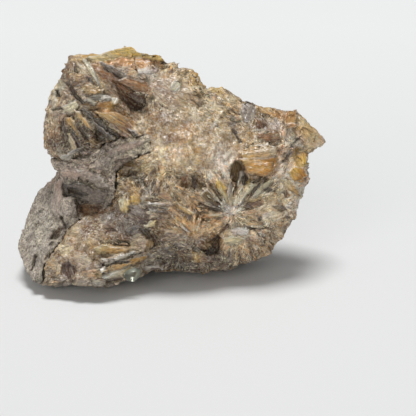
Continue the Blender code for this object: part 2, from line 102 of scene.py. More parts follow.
# How much brighter the sprays are, and how much painted light brightens the face to the right, per step from
# this column.
SPRAY_GAIN = 0.22
RIGHTWARD_PAINTED_LIGHT = 0.0006
RIGHTWARD_START = 160

# Spray centres that the blades radiate from: column, row, reach in steps.
SPRAYS = [
    (232, 214, 62),
    (193, 236, 52),
    (160, 155, 44),
    (152, 88, 60),
    (250, 60, 66),
    (44, 150, 40),
]

# Patches whose blades run from another point: column, row, half width, half height, turn in degrees, and that
# point's column and row.
STRAY_SPRAYS = [
    (154, 210, 19, 14, -6, 260, 205),
    (126, 108, 26, 12, 48, 190, 178),
    (206, 108, 46, 26, 20, 420, 240),
]

# Patches of colour on the gypsum: column, row, half width, half height, turn in degrees, colour, strength.
TINTS = [
    # The golden crest and the slope to its right.
    (125, 54, 44, 9, -6, "gold", 0.95), (132, 62, 38, 6, -2, "orange", 0.9),
    (136, 70, 20, 5, 8, "blush", 0.6), (152, 72, 10, 7, 0, "white", 0.9), (152, 84, 9, 7, 0, "cream", 0.5),
    (180, 76, 30, 12, 24, "cream", 0.7), (166, 88, 16, 10, 0, "lilac", 0.6), (196, 78, 8, 8, 0, "honey", 0.7),
    (217, 88, 9, 4, 0, "gold", 0.8), (213, 96, 3, 5, 0, "orange", 0.8),
    # Dark wing and hollow below the crest. The umber patches paint shade into the hollow.
    (116, 78, 28, 8, 24, "rust", 0.9), (138, 84, 12, 8, 20, "russet", 0.6),
    (130, 97, 20, 7, 42, "umber", 0.8), (145, 88, 6, 5, 0, "orange", 0.7), (122, 81, 18, 9, 24, "umber", 0.5),
    (124, 104, 20, 5, 50, "brown", 0.7), (132, 116, 6, 7, 20, "orange", 0.5),
    # Upper left block. The dark patches along the band under the petal and the plum and umber ones low on the
    # block are painted shade.
    (76, 78, 14, 14, 0, "brown", 0.6), (57, 94, 6, 20, 8, "grey", 0.7), (92, 89, 9, 5, 20, "gold", 0.9),
    (102, 97, 12, 4, 0, "slate", 0.85), (104, 105, 10, 4, 0, "amber", 0.9), (115, 101, 4, 6, 0, "cream", 0.9),
    (87, 106, 8, 6, 0, "olive", 0.8), (70, 128, 28, 32, 0, "brown", 0.8), (60, 112, 16, 6, -10, "blush", 0.6),
    (86, 124, 14, 8, 20, "olive", 0.5), (92, 142, 30, 18, 5, "plum", 0.65), (84, 163, 6, 5, 0, "honey", 0.5),
    (84, 74, 14, 12, 0, "brown", 0.4), (68, 140, 12, 14, 0, "umber", 0.5), (69, 151, 6, 8, 0, "umber", 0.8),
    (98, 150, 12, 6, 0, "umber", 0.5), (119, 122, 24, 8, 33, "amber", 0.95),
    (126, 138, 12, 5, 20, "dark", 0.6), (108, 128, 32, 5, 33, "dark", 0.8),
    (120, 146, 20, 6, 5, "slate", 0.7),
    # Pale sugary middle.
    (192, 142, 62, 34, 8, "straw", 0.6), (182, 150, 26, 14, 0, "straw", 0.6),
    (222, 152, 22, 14, 0, "cream", 0.7), (176, 155, 9, 6, 0, "white", 0.6),
    (150, 112, 14, 16, 20, "tan", 0.6), (226, 168, 10, 10, 0, "grey", 0.4),
    (164, 168, 16, 8, 0, "straw", 0.7), (200, 152, 6, 4, 0, "brown", 0.6),
    (166, 120, 24, 24, 10, "brown", 0.4), (206, 124, 32, 26, 0, "grey", 0.5),
    (186, 134, 14, 10, 0, "honey", 0.7), (172, 138, 9, 6, 0, "rust", 0.6),
    (226, 156, 18, 12, 0, "white", 0.7), (190, 184, 14, 10, 0, "tan", 0.6), (148, 191, 9, 8, 0, "white", 0.5),
    (194, 192, 9, 8, 0, "brown", 0.4), (218, 174, 12, 10, 0, "white", 0.6),
    (178, 164, 16, 7, 0, "cream", 0.6), (160, 146, 12, 9, 0, "cream", 0.5),
    (204, 168, 14, 8, 0, "olive", 0.35), (194, 110, 14, 10, 0, "tan", 0.5), (165, 137, 6, 6, 0, "umber", 0.7),
    (164, 114, 9, 9, 0, "brown", 0.6), (190, 136, 50, 26, 8, "tan", 0.25), (141, 124, 6, 8, 0, "cream", 0.7),
    # Scaly slope at the upper middle and right. The tall white patch down the right rim is painted light.
    (208, 104, 46, 22, 22, "straw", 0.4), (249, 111, 9, 14, 0, "lilac", 0.85),
    (286, 138, 16, 12, 20, "lilac", 0.8), (268, 110, 20, 6, 22, "honey", 0.85),
    (312, 136, 14, 15, -20, "straw", 0.8), (300, 132, 8, 10, 0, "orange", 0.4),
    (318, 140, 7, 10, -20, "cream", 0.6), (288, 168, 18, 40, -8, "white", 0.75),
    (288, 138, 12, 10, 0, "white", 0.6), (262, 124, 10, 10, 0, "umber", 0.6),
    # The pale rim at the far left, partly painted light, the ledge over the dark crust, and the slope again.
    (53, 108, 6, 24, 4, "cream", 0.6), (95, 221, 15, 7, -5, "umber", 0.5),
    (288, 160, 10, 14, 20, "tan", 0.6), (236, 122, 8, 10, 0, "lilac", 0.5),
    # The golden plate's ground and the facets at the right edge.
    (259, 163, 20, 14, 0, "amber", 0.9), (300, 158, 7, 10, 0, "gold", 0.9),
    (303, 197, 7, 14, -10, "grey", 0.9),
    # Large spray.
    (232, 205, 38, 32, 0, "cream", 0.8), (234, 196, 34, 26, 0, "white", 0.35),
    (232, 213, 12, 11, 0, "white", 0.8), (264, 212, 24, 18, -12, "cream", 0.7),
    (250, 208, 12, 5, -15, "tan", 0.6), (214, 217, 20, 8, 10, "orange", 0.5),
    (282, 192, 18, 14, 0, "cream", 0.7), (250, 232, 22, 8, -10, "cream", 0.6),
    (255, 250, 40, 14, -20, "tan", 0.6), (293, 207, 7, 8, 0, "white", 0.7),
    (256, 232, 12, 7, 0, "white", 0.6), (283, 178, 8, 6, 0, "white", 0.8), (200, 195, 6, 6, 0, "brown", 0.7),
    # Small spray and the brush of blades beside it.
    (144, 202, 6, 6, 0, "white", 0.6), (154, 190, 6, 5, 0, "white", 0.5), (165, 214, 8, 6, 0, "umber", 0.7),
    (182, 233, 20, 12, 0, "rust", 0.35), (193, 230, 26, 18, 0, "orange", 0.3),
    (188, 222, 26, 18, 0, "honey", 0.6), (156, 209, 18, 13, -10, "grey", 0.8),
    (180, 240, 22, 6, 0, "mauve", 0.6),
    # Golden fibres left of the middle.
    (136, 188, 26, 15, -10, "olive", 0.75), (127, 167, 13, 8, -10, "brown", 0.7),
    (154, 192, 12, 12, 0, "brown", 0.4), (134, 204, 6, 6, 0, "honey", 0.6),
    # Dark crust of the lower middle.
    (124, 222, 28, 19, 0, "plum", 0.75), (140, 222, 12, 10, 30, "slate", 0.7),
    (112, 232, 18, 8, 20, "umber", 0.5), (94, 212, 13, 6, -5, "rust", 0.75), (145, 242, 12, 9, 0, "tan", 0.7),
    (164, 238, 14, 20, 0, "umber", 0.5), (88, 220, 18, 8, 0, "umber", 0.5), (118, 242, 16, 5, 0, "dark", 0.4),
    (124, 222, 24, 17, 0, "umber", 0.5),
    # Lower left crust.
    (86, 250, 40, 30, 0, "tan", 0.75), (66, 238, 12, 14, 0, "honey", 0.5), (66, 250, 7, 7, 0, "cream", 0.8),
    (56, 268, 8, 8, 0, "honey", 0.6), (108, 250, 18, 6, -4, "gold", 0.7),
    (112, 270, 20, 6, -12, "cream", 0.6), (80, 268, 36, 22, 0, "mauve", 0.35),
    (60, 276, 20, 10, 0, "slate", 0.5), (104, 264, 16, 6, -12, "white", 0.5),
    (92, 284, 28, 6, 0, "slate", 0.7), (126, 258, 24, 7, -20, "grey", 0.5), (98, 226, 12, 7, 0, "brown", 0.7),
    (63, 279, 9, 5, 0, "dark", 0.5), (131, 271, 9, 5, 0, "dark", 0.9), (90, 231, 8, 6, 0, "brown", 0.7),
    (84, 256, 34, 24, 0, "brown", 0.22),
    # Shaded slope above the lower edge. Its umber, dark and slate patches are painted shade.
    (186, 260, 42, 15, 0, "umber", 0.95), (186, 256, 16, 8, 10, "rust", 0.4),
    (230, 266, 30, 10, -4, "umber", 0.5), (150, 262, 12, 8, 0, "grey", 0.5),
    (180, 262, 48, 13, 0, "dark", 0.62), (170, 274, 50, 3, 2, "slate", 0.6),
    (198, 256, 7, 7, 20, "honey", 0.6),
]

# How the surface is built, patch by patch: column, row, half width, half height, turn in degrees, kind,
# strength. Kinds are smooth for plates and petals, sugar for fine grains, fibre for blades side by side.
# Elsewhere it is broken.
TEXTURES = [
    (259, 163, 21, 15, 0, "smooth", 1.0), (290, 119, 8, 9, 0, "smooth", 0.9),
    (298, 170, 9, 15, 0, "smooth", 0.9), (313, 137, 12, 14, -20, "smooth", 0.8),
    (262, 124, 7, 6, 0, "smooth", 0.9), (271, 135, 9, 5, 0, "smooth", 0.8),
    (119, 122, 22, 7, 33, "smooth", 0.9), (116, 78, 26, 7, 24, "smooth", 0.8),
    (104, 101, 14, 7, 0, "smooth", 0.8), (126, 54, 46, 10, -4, "smooth", 1.0),
    (270, 110, 18, 5, 22, "smooth", 0.7), (249, 110, 8, 12, 0, "smooth", 0.5),
    (303, 198, 7, 14, -10, "smooth", 0.7), (110, 250, 18, 5, -4, "smooth", 0.6),
    (94, 211, 12, 6, 0, "smooth", 0.7), (190, 142, 60, 30, 8, "sugar", 1.0),
    (124, 222, 26, 18, 0, "sugar", 0.9), (272, 212, 16, 12, -12, "sugar", 0.7),
    (72, 250, 26, 34, 0, "sugar", 0.6), (168, 84, 24, 12, 24, "sugar", 0.7),
    (226, 168, 12, 12, 0, "sugar", 0.8), (232, 206, 36, 34, 0, "fibre", 1.0),
    (193, 232, 28, 20, 0, "fibre", 1.0), (154, 210, 19, 14, -6, "fibre", 1.0),
    (136, 190, 26, 14, -20, "fibre", 0.7), (114, 262, 38, 12, -18, "fibre", 0.9),
    (120, 106, 22, 12, 48, "fibre", 0.8), (206, 106, 46, 24, 20, "fibre", 0.55),
    (90, 140, 30, 16, 20, "fibre", 0.5), (190, 196, 26, 20, 40, "fibre", 0.6),
]

# Pits and slots between the crystals: column, row, half width, half height, turn in degrees, depth in mm.
PITS = [
    (96, 146, 9, 1.8, 12, 1.0), (68, 134, 2, 6, 20, 0.8), (52, 143, 3, 4, 0, 0.9), (72, 117, 5, 2, 20, 0.8),
    (75, 68, 2, 4, 10, 0.8), (88, 158, 6, 1.5, -20, 0.9), (82, 149, 3, 2, 0, 0.8),
    (297, 142, 9, 1.6, -40, 1.0), (234, 120, 2, 5, -20, 0.8), (216, 124, 5, 1.8, 40, 0.8),
    (158, 218, 6, 1.6, -10, 0.9), (136, 178, 4, 3, 0, 0.8), (176, 248, 8, 1.6, 10, 0.9),
    (260, 180, 9, 1.6, -6, 1.2), (152, 98, 3, 2, 0, 0.6), (174, 96, 4, 1.4, 45, 0.6),
]

# How much painted shade darkens the bottom of a pit.
PIT_SHADE = 0.72

# The step between two slabs of the crest, which its forms close: a patch, and how deep it goes in mm.
CREST_STEP = (134, 62, 6, 14, -14)
CREST_STEP_DEPTH = 16.5

# Patches of colour on the mudstone, laid out like those above.
STONE_TINTS = [
    (84, 172, 30, 9, 24, "blush", 0.8), (58, 198, 4.5, 22, 6, "blush", 0.9),
    (86, 192, 26, 11, 8, "mauve", 0.6), (46, 192, 8, 12, 30, "mauve", 0.5), (71, 206, 9, 11, 0, "mauve", 0.8),
    (92, 211, 12, 6, -3, "rust", 0.8), (114, 158, 40, 14, -22, "blush", 0.45),
    (136, 148, 20, 10, -14, "cream", 0.5), (66, 174, 6, 4, 0, "slate", 0.6),
    (44, 266, 7, 12, 10, "mauve", 0.4), (53, 180, 8, 10, 0, "blush", 0.8), (40, 232, 16, 34, 22, "grey", 0.6),
    (30, 250, 10, 22, 10, "lilac", 0.4),
]

# Cracks and holes in the mudstone: column, row, half width, half height, turn in degrees, depth in mm.
CRACKS = [
    (104, 181, 7, 1.0, 40, 0.8), (94, 172, 8, 0.9, 30, 0.6), (111, 160, 1.4, 4, 20, 0.8),
    (28, 238, 4, 1, -40, 0.5), (40, 211, 4, 1, -20, 0.5), (70, 195, 9, 1.0, 0, 0.5),
    (39, 282, 3, 1.6, 0, 0.6), (48, 196, 1.4, 8, 20, 0.5), (120, 150, 10, 0.9, -20, 0.6),
    (36, 224, 5, 0.8, -60, 0.4), (43, 272, 1, 6, 10, 0.4), (72, 163, 8, 0.8, 6, 0.5),
]

# How much painted shade darkens the bottom of a crack.
CRACK_SHADE = 0.75

# The worn wedge of the mudstone, its shaded ridge, and which way the shards of the ridge run.
WORN_WEDGE = (36, 236, 22, 54, 22)
SHADED_RIDGE = (112, 158, 46, 19, -22)
RIDGE_SLOPE = math.radians(26)
RIDGE_RUN = math.cos(RIDGE_SLOPE) * FACE_RIGHT + math.sin(RIDGE_SLOPE) * FACE_UP


def places(columns, rows, depths_mm):
    """Points in metres at drawing grid positions and depths, one row each."""
    depths = np.asarray(depths_mm, float) * MM
    step = GRID_STEP * (1 + depths / SIGHT_DISTANCE)
    across = (np.asarray(columns, float) - CENTRE) * step
    upward = (CENTRE - np.asarray(rows, float)) * step
    flat = np.stack([across, np.zeros_like(across), np.zeros_like(across)], -1)
    return FACE_ORIGIN + flat + upward[..., None] * FACE_UP + depths[..., None] * SIGHT


def locate(points):
    """Columns, rows and depths in mm of points in metres: the inverse of places()."""
    offset = points - FACE_ORIGIN
    depths = offset @ SIGHT
    step = GRID_STEP * (1 + depths / SIGHT_DISTANCE)
    return CENTRE + offset[..., 0] / step, CENTRE - (offset @ FACE_UP) / step, depths / MM


def linear(name):
    """A palette colour in linear light."""
    share = np.array(PALETTE[name]) / 255
    return ((share + 0.055) / 1.055) ** 2.4


def unit(vectors):
    """Vectors scaled to length 1."""
    return vectors / np.maximum(np.linalg.norm(vectors, axis=-1, keepdims=True), 1e-12)


def ease(share):
    """A smooth step between 0 and 1."""
    share = np.clip(share, 0, 1)
    return share * share * (3 - 2 * share)


# ---------------------------------------------------------------- noise

# Each noise takes a seed, a number of its own that keeps it unlike the others.

def hashed(cells, seed):
    """Repeatable numbers between 0 and 1 for whole-numbered cells. The large numbers only mix the bits."""
    x, y, z = (cells[..., i].astype(np.int64) for i in range(3))
    mixed = (x * 73856093 ^ y * 19349663 ^ z * 83492791 ^ seed * 265443576) & 0xFFFFFFFF
    mixed = ((mixed ^ (mixed >> 15)) * 2246822519) & 0xFFFFFFFF
    mixed = ((mixed ^ (mixed >> 13)) * 3266489917) & 0xFFFFFFFF
    return ((mixed ^ (mixed >> 16)) & 0xFFFFFF) / 0xFFFFFF


def smooth_noise(points, seed=0):
    """Smooth noise between -1 and 1 whose features are about one unit across."""
    cell = np.floor(points)
    share = ease(points - cell)
    total = np.zeros(points.shape[:-1])
    for step in np.ndindex(2, 2, 2):
        weight = np.prod(np.where(np.array(step) == 1, share, 1 - share), axis=-1)
        total += weight * hashed(cell + step, seed)
    return total * 2 - 1


def cloud_noise(points, seed=0, layers=4):
    """Several layers of smooth noise, each finer and weaker than the last."""
    total, weight = 0.0, 0.5
    for layer in range(layers):
        total = total + weight * smooth_noise(points * 2.0**layer, seed + layer)
        weight *= 0.55
    return total


def nearest_cells(points, seed):
    """The scattered cell that each point lies in: the way from its centre, its place, the gap to its edge."""
    base = np.floor(points)
    nearest = np.full(points.shape[:-1], 9.0)
    second = nearest.copy()
    way, cell = np.zeros(points.shape), np.zeros(points.shape)
    for step in np.ndindex(3, 3, 3):
        other = base + np.array(step) - 1
        away = points - other - np.stack([hashed(other, seed + k) for k in range(3)], -1)
        distance = np.linalg.norm(away, axis=-1)
        closer = distance < nearest
        second = np.where(closer, nearest, np.minimum(second, distance))
        nearest = np.where(closer, distance, nearest)
        way = np.where(closer[..., None], away, way)
        cell = np.where(closer[..., None], other, cell)
    return way, cell, second - nearest


def facets(points, seed=0, tilt=1.0):
    """Broken facets, each cell a plane with its own tilt and height. Returns heights, numbers and edges."""
    way, cell, edge = nearest_cells(points, seed)
    slopes = np.stack([hashed(cell, seed + 5 + k) * 2 - 1 for k in range(3)], -1)
    height = (way * slopes).sum(-1) * tilt + hashed(cell, seed + 9) - 0.5
    return height, hashed(cell, seed + 11), edge


def bundles(spot, heading, size, blade, disorder, seed, tilt=1.0):
    """Blades in bundles that each turn a little from the heading. Sizes in mm. Heights, numbers and edges."""
    way, cell, bundle_edge = nearest_cells(spot / size, seed)
    turn = np.stack([hashed(cell, seed + 20 + k) - 0.5 for k in range(3)], -1)
    along = unit(heading + turn * np.asarray(disorder)[..., None])
    side = unit(np.cross(along, SIGHT))
    inward = np.cross(along, side)
    parts = [(way * axis).sum(-1) * size / width for axis, width in zip((along, side, inward), blade)]
    height, number, edge = facets(np.stack(parts, -1) + turn * 60, seed + 30, tilt)
    return height + 0.8 * (hashed(cell, seed + 25) - 0.5), number, np.minimum(edge, bundle_edge * 2)


# ---------------------------------------------------------------- the face's layout

def patch(columns, rows, column, row, half_width, half_height, turn, feather=0.45):
    """How far inside a turned ellipse each position lies: 1 inside, 0 outside, smooth between."""
    angle = math.radians(turn)
    across, down = columns - column, rows - row
    u = (across * math.cos(angle) + down * math.sin(angle)) / half_width
    v = (down * math.cos(angle) - across * math.sin(angle)) / half_height
    return ease((1 + feather - np.hypot(u, v)) / (2 * feather))


def within(columns, rows, outline):
    """Whether each position lies inside an outline of (column, row) corners."""
    inside = np.zeros(np.shape(columns), bool)
    for (x0, y0), (x1, y1) in zip(outline, np.roll(outline, -1, axis=0)):
        if y0 != y1:
            crossing = x0 + (rows - y0) * (x1 - x0) / (y1 - y0)
            inside ^= ((y0 > rows) != (y1 > rows)) & (columns < crossing)
    return inside


def grid_noise(columns, rows, size, seed):
    """Smooth noise over the grid whose features are this many steps across."""
    return smooth_noise(np.stack([columns, rows, np.zeros_like(columns)], -1) / size, seed)


def spray_field(columns, rows):
    """Which spray each position belongs to, and its direction and distance from that spray's centre."""
    best = np.full(columns.shape, 1e9)
    owner = np.zeros(columns.shape, int)
    centre_column = np.zeros(columns.shape)
    centre_row = np.zeros(columns.shape)
    for index, (column, row, reach) in enumerate(SPRAYS):
        score = np.hypot(columns - column, rows - row) / reach
        score += 0.16 * grid_noise(columns, rows, 26, 40 + index)
        closer = score < best
        best = np.where(closer, score, best)
        owner = np.where(closer, index, owner)
        centre_column = np.where(closer, column, centre_column)
        centre_row = np.where(closer, row, centre_row)
    for index, (*place, far_column, far_row) in enumerate(STRAY_SPRAYS):
        stray = patch(columns, rows, *place, 0.1) > 0.5
        owner = np.where(stray, len(SPRAYS) + index, owner)
        centre_column = np.where(stray, far_column, centre_column)
        centre_row = np.where(stray, far_row, centre_row)
    across, up = columns - centre_column, centre_row - rows
    return owner, np.arctan2(up, across), np.hypot(across, up)


def along_face(angle):
    """Directions in the plane of the grid, at angles anticlockwise from the right."""
    return np.cos(angle)[:, None] * FACE_RIGHT + np.sin(angle)[:, None] * FACE_UP


def headings(columns, rows):
    """The direction in which the blades run at grid positions."""
    _, angle, _ = spray_field(columns, rows)
    return along_face(angle)


def drifted(columns, rows, size, reach, seed):
    """Grid positions moved a little by noise, so that patches get uneven edges."""
    moves = (reach * grid_noise(columns, rows, size, seed + k) for k in range(2))
    return columns + next(moves), rows + next(moves)


def tinted(columns, rows, base, tints):
    """Colours at grid positions: a base colour with the patches painted over it in turn."""
    colour = np.tile(linear(base), (len(columns), 1))
    spots = drifted(columns, rows, 6, 2.6, 3)
    for *place, name, strength in tints:
        colour += (patch(*spots, *place) * strength)[:, None] * (linear(name) - colour)
    return colour


def texture_weights(columns, rows):
    """How smooth, sugary and fibrous the surface is at grid positions, each from 0 to 1."""
    weights = {kind: np.zeros(len(columns)) for kind in ("smooth", "sugar", "fibre")}
    for *place, kind, strength in TEXTURES:
        weights[kind] = np.maximum(weights[kind], patch(columns, rows, *place, 0.3) * strength)
    smooth = weights["smooth"]
    sugar = weights["sugar"] * (1 - smooth)
    return smooth, sugar, weights["fibre"] * (1 - smooth) * (1 - 0.6 * sugar)


def pit_depths(columns, rows, pits):
    """Depth in mm of the pits and slots at grid positions, and how far inside one each position lies."""
    depth = np.zeros(len(columns))
    share = np.zeros(len(columns))
    spots = drifted(columns, rows, 3.5, 1.3, 5)
    for *place, depth_mm in pits:
        here = patch(*spots, *place, 0.35)
        depth = np.maximum(depth, here * depth_mm)
        share = np.maximum(share, here)
    return depth, share


# ---------------------------------------------------------------- meshes

def mesh_arrays(mesh):
    """Vertex positions and normals of a mesh as arrays."""
    points = np.empty(len(mesh.vertices) * 3)
    normals = np.empty(len(mesh.vertices) * 3)
    mesh.vertices.foreach_get("co", points)
    mesh.vertices.foreach_get("normal", normals)
    return points.reshape(-1, 3), normals.reshape(-1, 3)


def kept_in_box(points):
    """Points moved inside the CAD model's box where they would leave it."""
    return np.clip(points, np.array(CAD_BOX[0]), np.array(CAD_BOX[1]))


def set_points(mesh, points):
    """Moves a mesh's vertices."""
    mesh.vertices.foreach_set("co", kept_in_box(points).ravel())
    mesh.update()


def set_attribute(mesh, name, kind, values):
    """Stores one value per vertex, as a colour, a vector or a number."""
    attribute = mesh.attributes.new(name, kind, "POINT")
    if kind == "FLOAT_COLOR":
        values = np.concatenate([values, np.ones((len(values), 1))], 1)
    key = {"FLOAT_COLOR": "color", "FLOAT_VECTOR": "vector", "FLOAT": "value"}[kind]
    attribute.data.foreach_set(key, np.asarray(values, float).ravel())


def applied(obj):
    """Puts an object's modifiers into its mesh."""
    evaluated = obj.evaluated_get(bpy.context.evaluated_depsgraph_get())
    made = bpy.data.meshes.new_from_object(evaluated)
    obj.modifiers.clear()
    obj.data = made


def dense_copy(node, name, voxel):
    """A copy of a CAD node, meshed finely where the broken face is and thinned out elsewhere."""
    shape = bmesh.new()
    shape.from_mesh(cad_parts[node].data)
    bmesh.ops.remove_doubles(shape, verts=shape.verts[:], dist=1e-7)
    mesh = bpy.data.meshes.new(name)
    shape.to_mesh(mesh)
    shape.free()
    obj = bpy.data.objects.new(name, mesh)
    bpy.context.scene.collection.objects.link(obj)
    remesh = obj.modifiers.new("remesh", "REMESH")
    remesh.mode = "VOXEL"
    remesh.voxel_size = voxel
    remesh.use_smooth_shade = True
    applied(obj)
    _, normals = mesh_arrays(obj.data)
    away = ease((normals @ SIGHT - 0.1) / 0.3)
    group = obj.vertex_groups.new(name="away")
    for level in np.linspace(0, 1, 6):
        group.add(np.flatnonzero(np.abs(away - level) <= 0.1).tolist(), float(level), "REPLACE")
    thin = obj.modifiers.new("thin", "DECIMATE")
    thin.ratio = min(1, PIECE_TRIANGLES / (2 * len(obj.data.polygons)))
    thin.vertex_group = group.name
    applied(obj)
    obj.data.name = name
    return obj


def tree_of(*objects):
    """A search tree over the faces of several objects."""
    corners, faces, first = [], [], 0
    for obj in objects:
        points, _ = mesh_arrays(obj.data)
        corners += points.tolist()
        faces += [[first + i for i in polygon.vertices] for polygon in obj.data.polygons]
        first += len(points)
    return BVHTree.FromPolygons(corners, faces)


def surface_points(tree, columns, rows, face_limit=None):
    """Where lines of sight through grid positions meet a surface: points, normals and whether they met it.

    With a face limit, only the faces before it count as met.
    """
    targets = places(columns, rows, np.zeros(len(columns)))
    points, normals = np.zeros((len(columns), 3)), np.zeros((len(columns), 3))
    met = np.zeros(len(columns), bool)
    eye = Vector(EYE)
    for i, target in enumerate(targets):
        point, normal, index, _ = tree.ray_cast(eye, Vector(target - EYE).normalized())
        if point is not None and (face_limit is None or index < face_limit):
            points[i], normals[i], met[i] = point, normal, True
    normals[(normals @ SIGHT) > 0] *= -1
    return points, normals, met


def set_looks(mesh, looks):
    """Stores each vertex's colour, how its blades run, how disordered and strong they are, and its sugar."""
    set_attribute(mesh, "tint", "FLOAT_COLOR", looks["colour"])
    set_attribute(mesh, "sugar", "FLOAT", looks["sugar"])
    set_attribute(mesh, "heading", "FLOAT_VECTOR", looks["heading"])
    set_attribute(mesh, "disorder", "FLOAT", looks["disorder"])
    set_attribute(mesh, "lively", "FLOAT", looks["lively"])


# ---------------------------------------------------------------- forms that stand out one by one

# Each form has an outline of (column, row) corners, its colour at the first corner and away from it, its lift
# above the face in mm, and by how many degrees its right side and its upper side come forward, if they do.
# Sunk forms, the slots and hollows, mostly carry dark colours: painted shade on top of the real shade of
# their depth.

# The crest, the orange band and the sparkling rails under it.
CREST_FORMS = [
    ([(124, 50), (143, 53), (148, 70), (128, 70)], "gold", "orange", 0.2, 0, -10),
    ([(85, 59), (100, 56), (110, 52), (118, 48), (126, 46), (135, 47), (141, 52), (148, 55), (160, 57),
      (168, 62), (160, 63), (148, 59), (136, 57), (122, 57), (108, 61), (97, 64)],
     "straw", "gold", 0.5, 0, -8),
    ([(95, 63), (108, 61), (122, 57), (136, 57), (148, 59), (160, 63), (168, 66), (158, 69), (146, 67),
      (130, 66), (112, 65), (100, 66)], "orange", "orange", 0.1, 0, -12),
    ([(114, 71), (124, 66), (136, 63), (138, 65), (126, 69), (116, 74)], "cream", "blush", 0.2, 0, -10),
    ([(136, 69), (148, 67), (159, 68), (157, 73), (146, 73), (138, 75)], "white", "blush", 0.4, 0, -10),
    ([(122, 75), (134, 70), (138, 74), (128, 77)], "orange", "straw", 0.2, 0, 10),
    ([(104, 67), (112, 70), (126, 79), (124, 82), (112, 75), (102, 69)], "umber", "plum", -0.5),
    ([(99, 63), (103, 62), (116, 68), (129, 76), (134, 79), (128, 80), (114, 73), (102, 66)],
     "lilac", "mauve", 0.5, 0, -12),
    ([(92, 69), (103, 70), (114, 74), (122, 80), (118, 84), (108, 81), (98, 76)],
     "russet", "rust", 0.2, 0, 20),
    ([(144, 80), (152, 80), (154, 86), (149, 89)], "white", "blush", 0.3),
    # The hollow under the wing: sunk, with umber painted shade.
    ([(112, 80), (118, 81), (127, 88), (136, 95), (145, 98), (147, 104), (142, 110), (135, 110), (128, 103),
      (120, 93)], "rust", "umber", -1.3),
    ([(118, 80), (127, 77), (138, 79), (147, 82), (150, 88), (147, 93), (139, 92), (130, 88), (123, 85)],
     "rust", "russet", 0.5, 0, 24),
    ([(93, 72), (100, 76), (112, 84), (120, 93), (128, 103), (135, 111), (141, 120), (136, 121), (126, 112),
      (116, 100), (106, 88), (96, 78)], "tan", "blush", 0.2, -22),
    ([(116, 94), (124, 101), (132, 112), (134, 117), (128, 112), (120, 103)], "russet", "brown", 0.3, 20),
    ([(99, 78), (104, 84), (113, 94), (108, 94), (100, 86)], "gold", "olive", 0.2, -16),
    ([(82, 60), (86, 60), (94, 70), (100, 82), (102, 88), (97, 84), (89, 72)], "cream", "grey", 0.5, -12),
]

# The golden leaves and the honey petal.
LEAF_FORMS = [
    ([(85, 85), (91, 84), (97, 88), (101, 92), (95, 95), (88, 94)], "olive", "honey", 0.4, 0, -14),
    ([(88, 97), (96, 95), (106, 95), (113, 97), (110, 101), (100, 102), (92, 101)],
     "slate", "grey", 0.4, 0, 10),
    ([(96, 104), (104, 103), (112, 103), (117, 104), (113, 108), (104, 109), (98, 108)],
     "umber", "gold", 0.2, 0, -10),
    # A painted highlight on the orange glow.
    ([(112, 98), (117, 98), (119, 101), (116, 105), (112, 104)], "white", "gold", 0.6, 10),
    ([(80, 101), (88, 99), (95, 102), (97, 108), (90, 112), (83, 109)], "umber", "olive", 0.2),
    # A painted glint on the brown lump.
    ([(81, 101), (89, 98), (97, 103), (94, 105), (88, 101)], "white", "cream", 0.5),
    # The sunk dark band under the petal, its dark colour painted shade.
    ([(80, 107), (86, 109), (100, 120), (113, 131), (127, 139), (129, 142), (118, 140), (105, 131), (94, 121),
      (83, 112)], "slate", "dark", -1.0),
    ([(86, 112), (98, 121), (112, 132), (110, 133), (96, 122)], "mauve", "slate", 0.0),
    ([(96, 112), (104, 113), (112, 112), (120, 113), (126, 117), (130, 123), (132, 128), (138, 133),
      (140, 139), (133, 136), (124, 131), (114, 125), (104, 119), (98, 115)], "honey", "brown", 0.7, 0, 22),
    ([(127, 129), (133, 130), (140, 136), (141, 141), (134, 137)], "umber", "dark", 0.6),
    ([(99, 116), (104, 119), (116, 127), (128, 135), (131, 139), (126, 139), (114, 131), (104, 123)],
     "cream", "brown", 0.4, 0, -24),
]

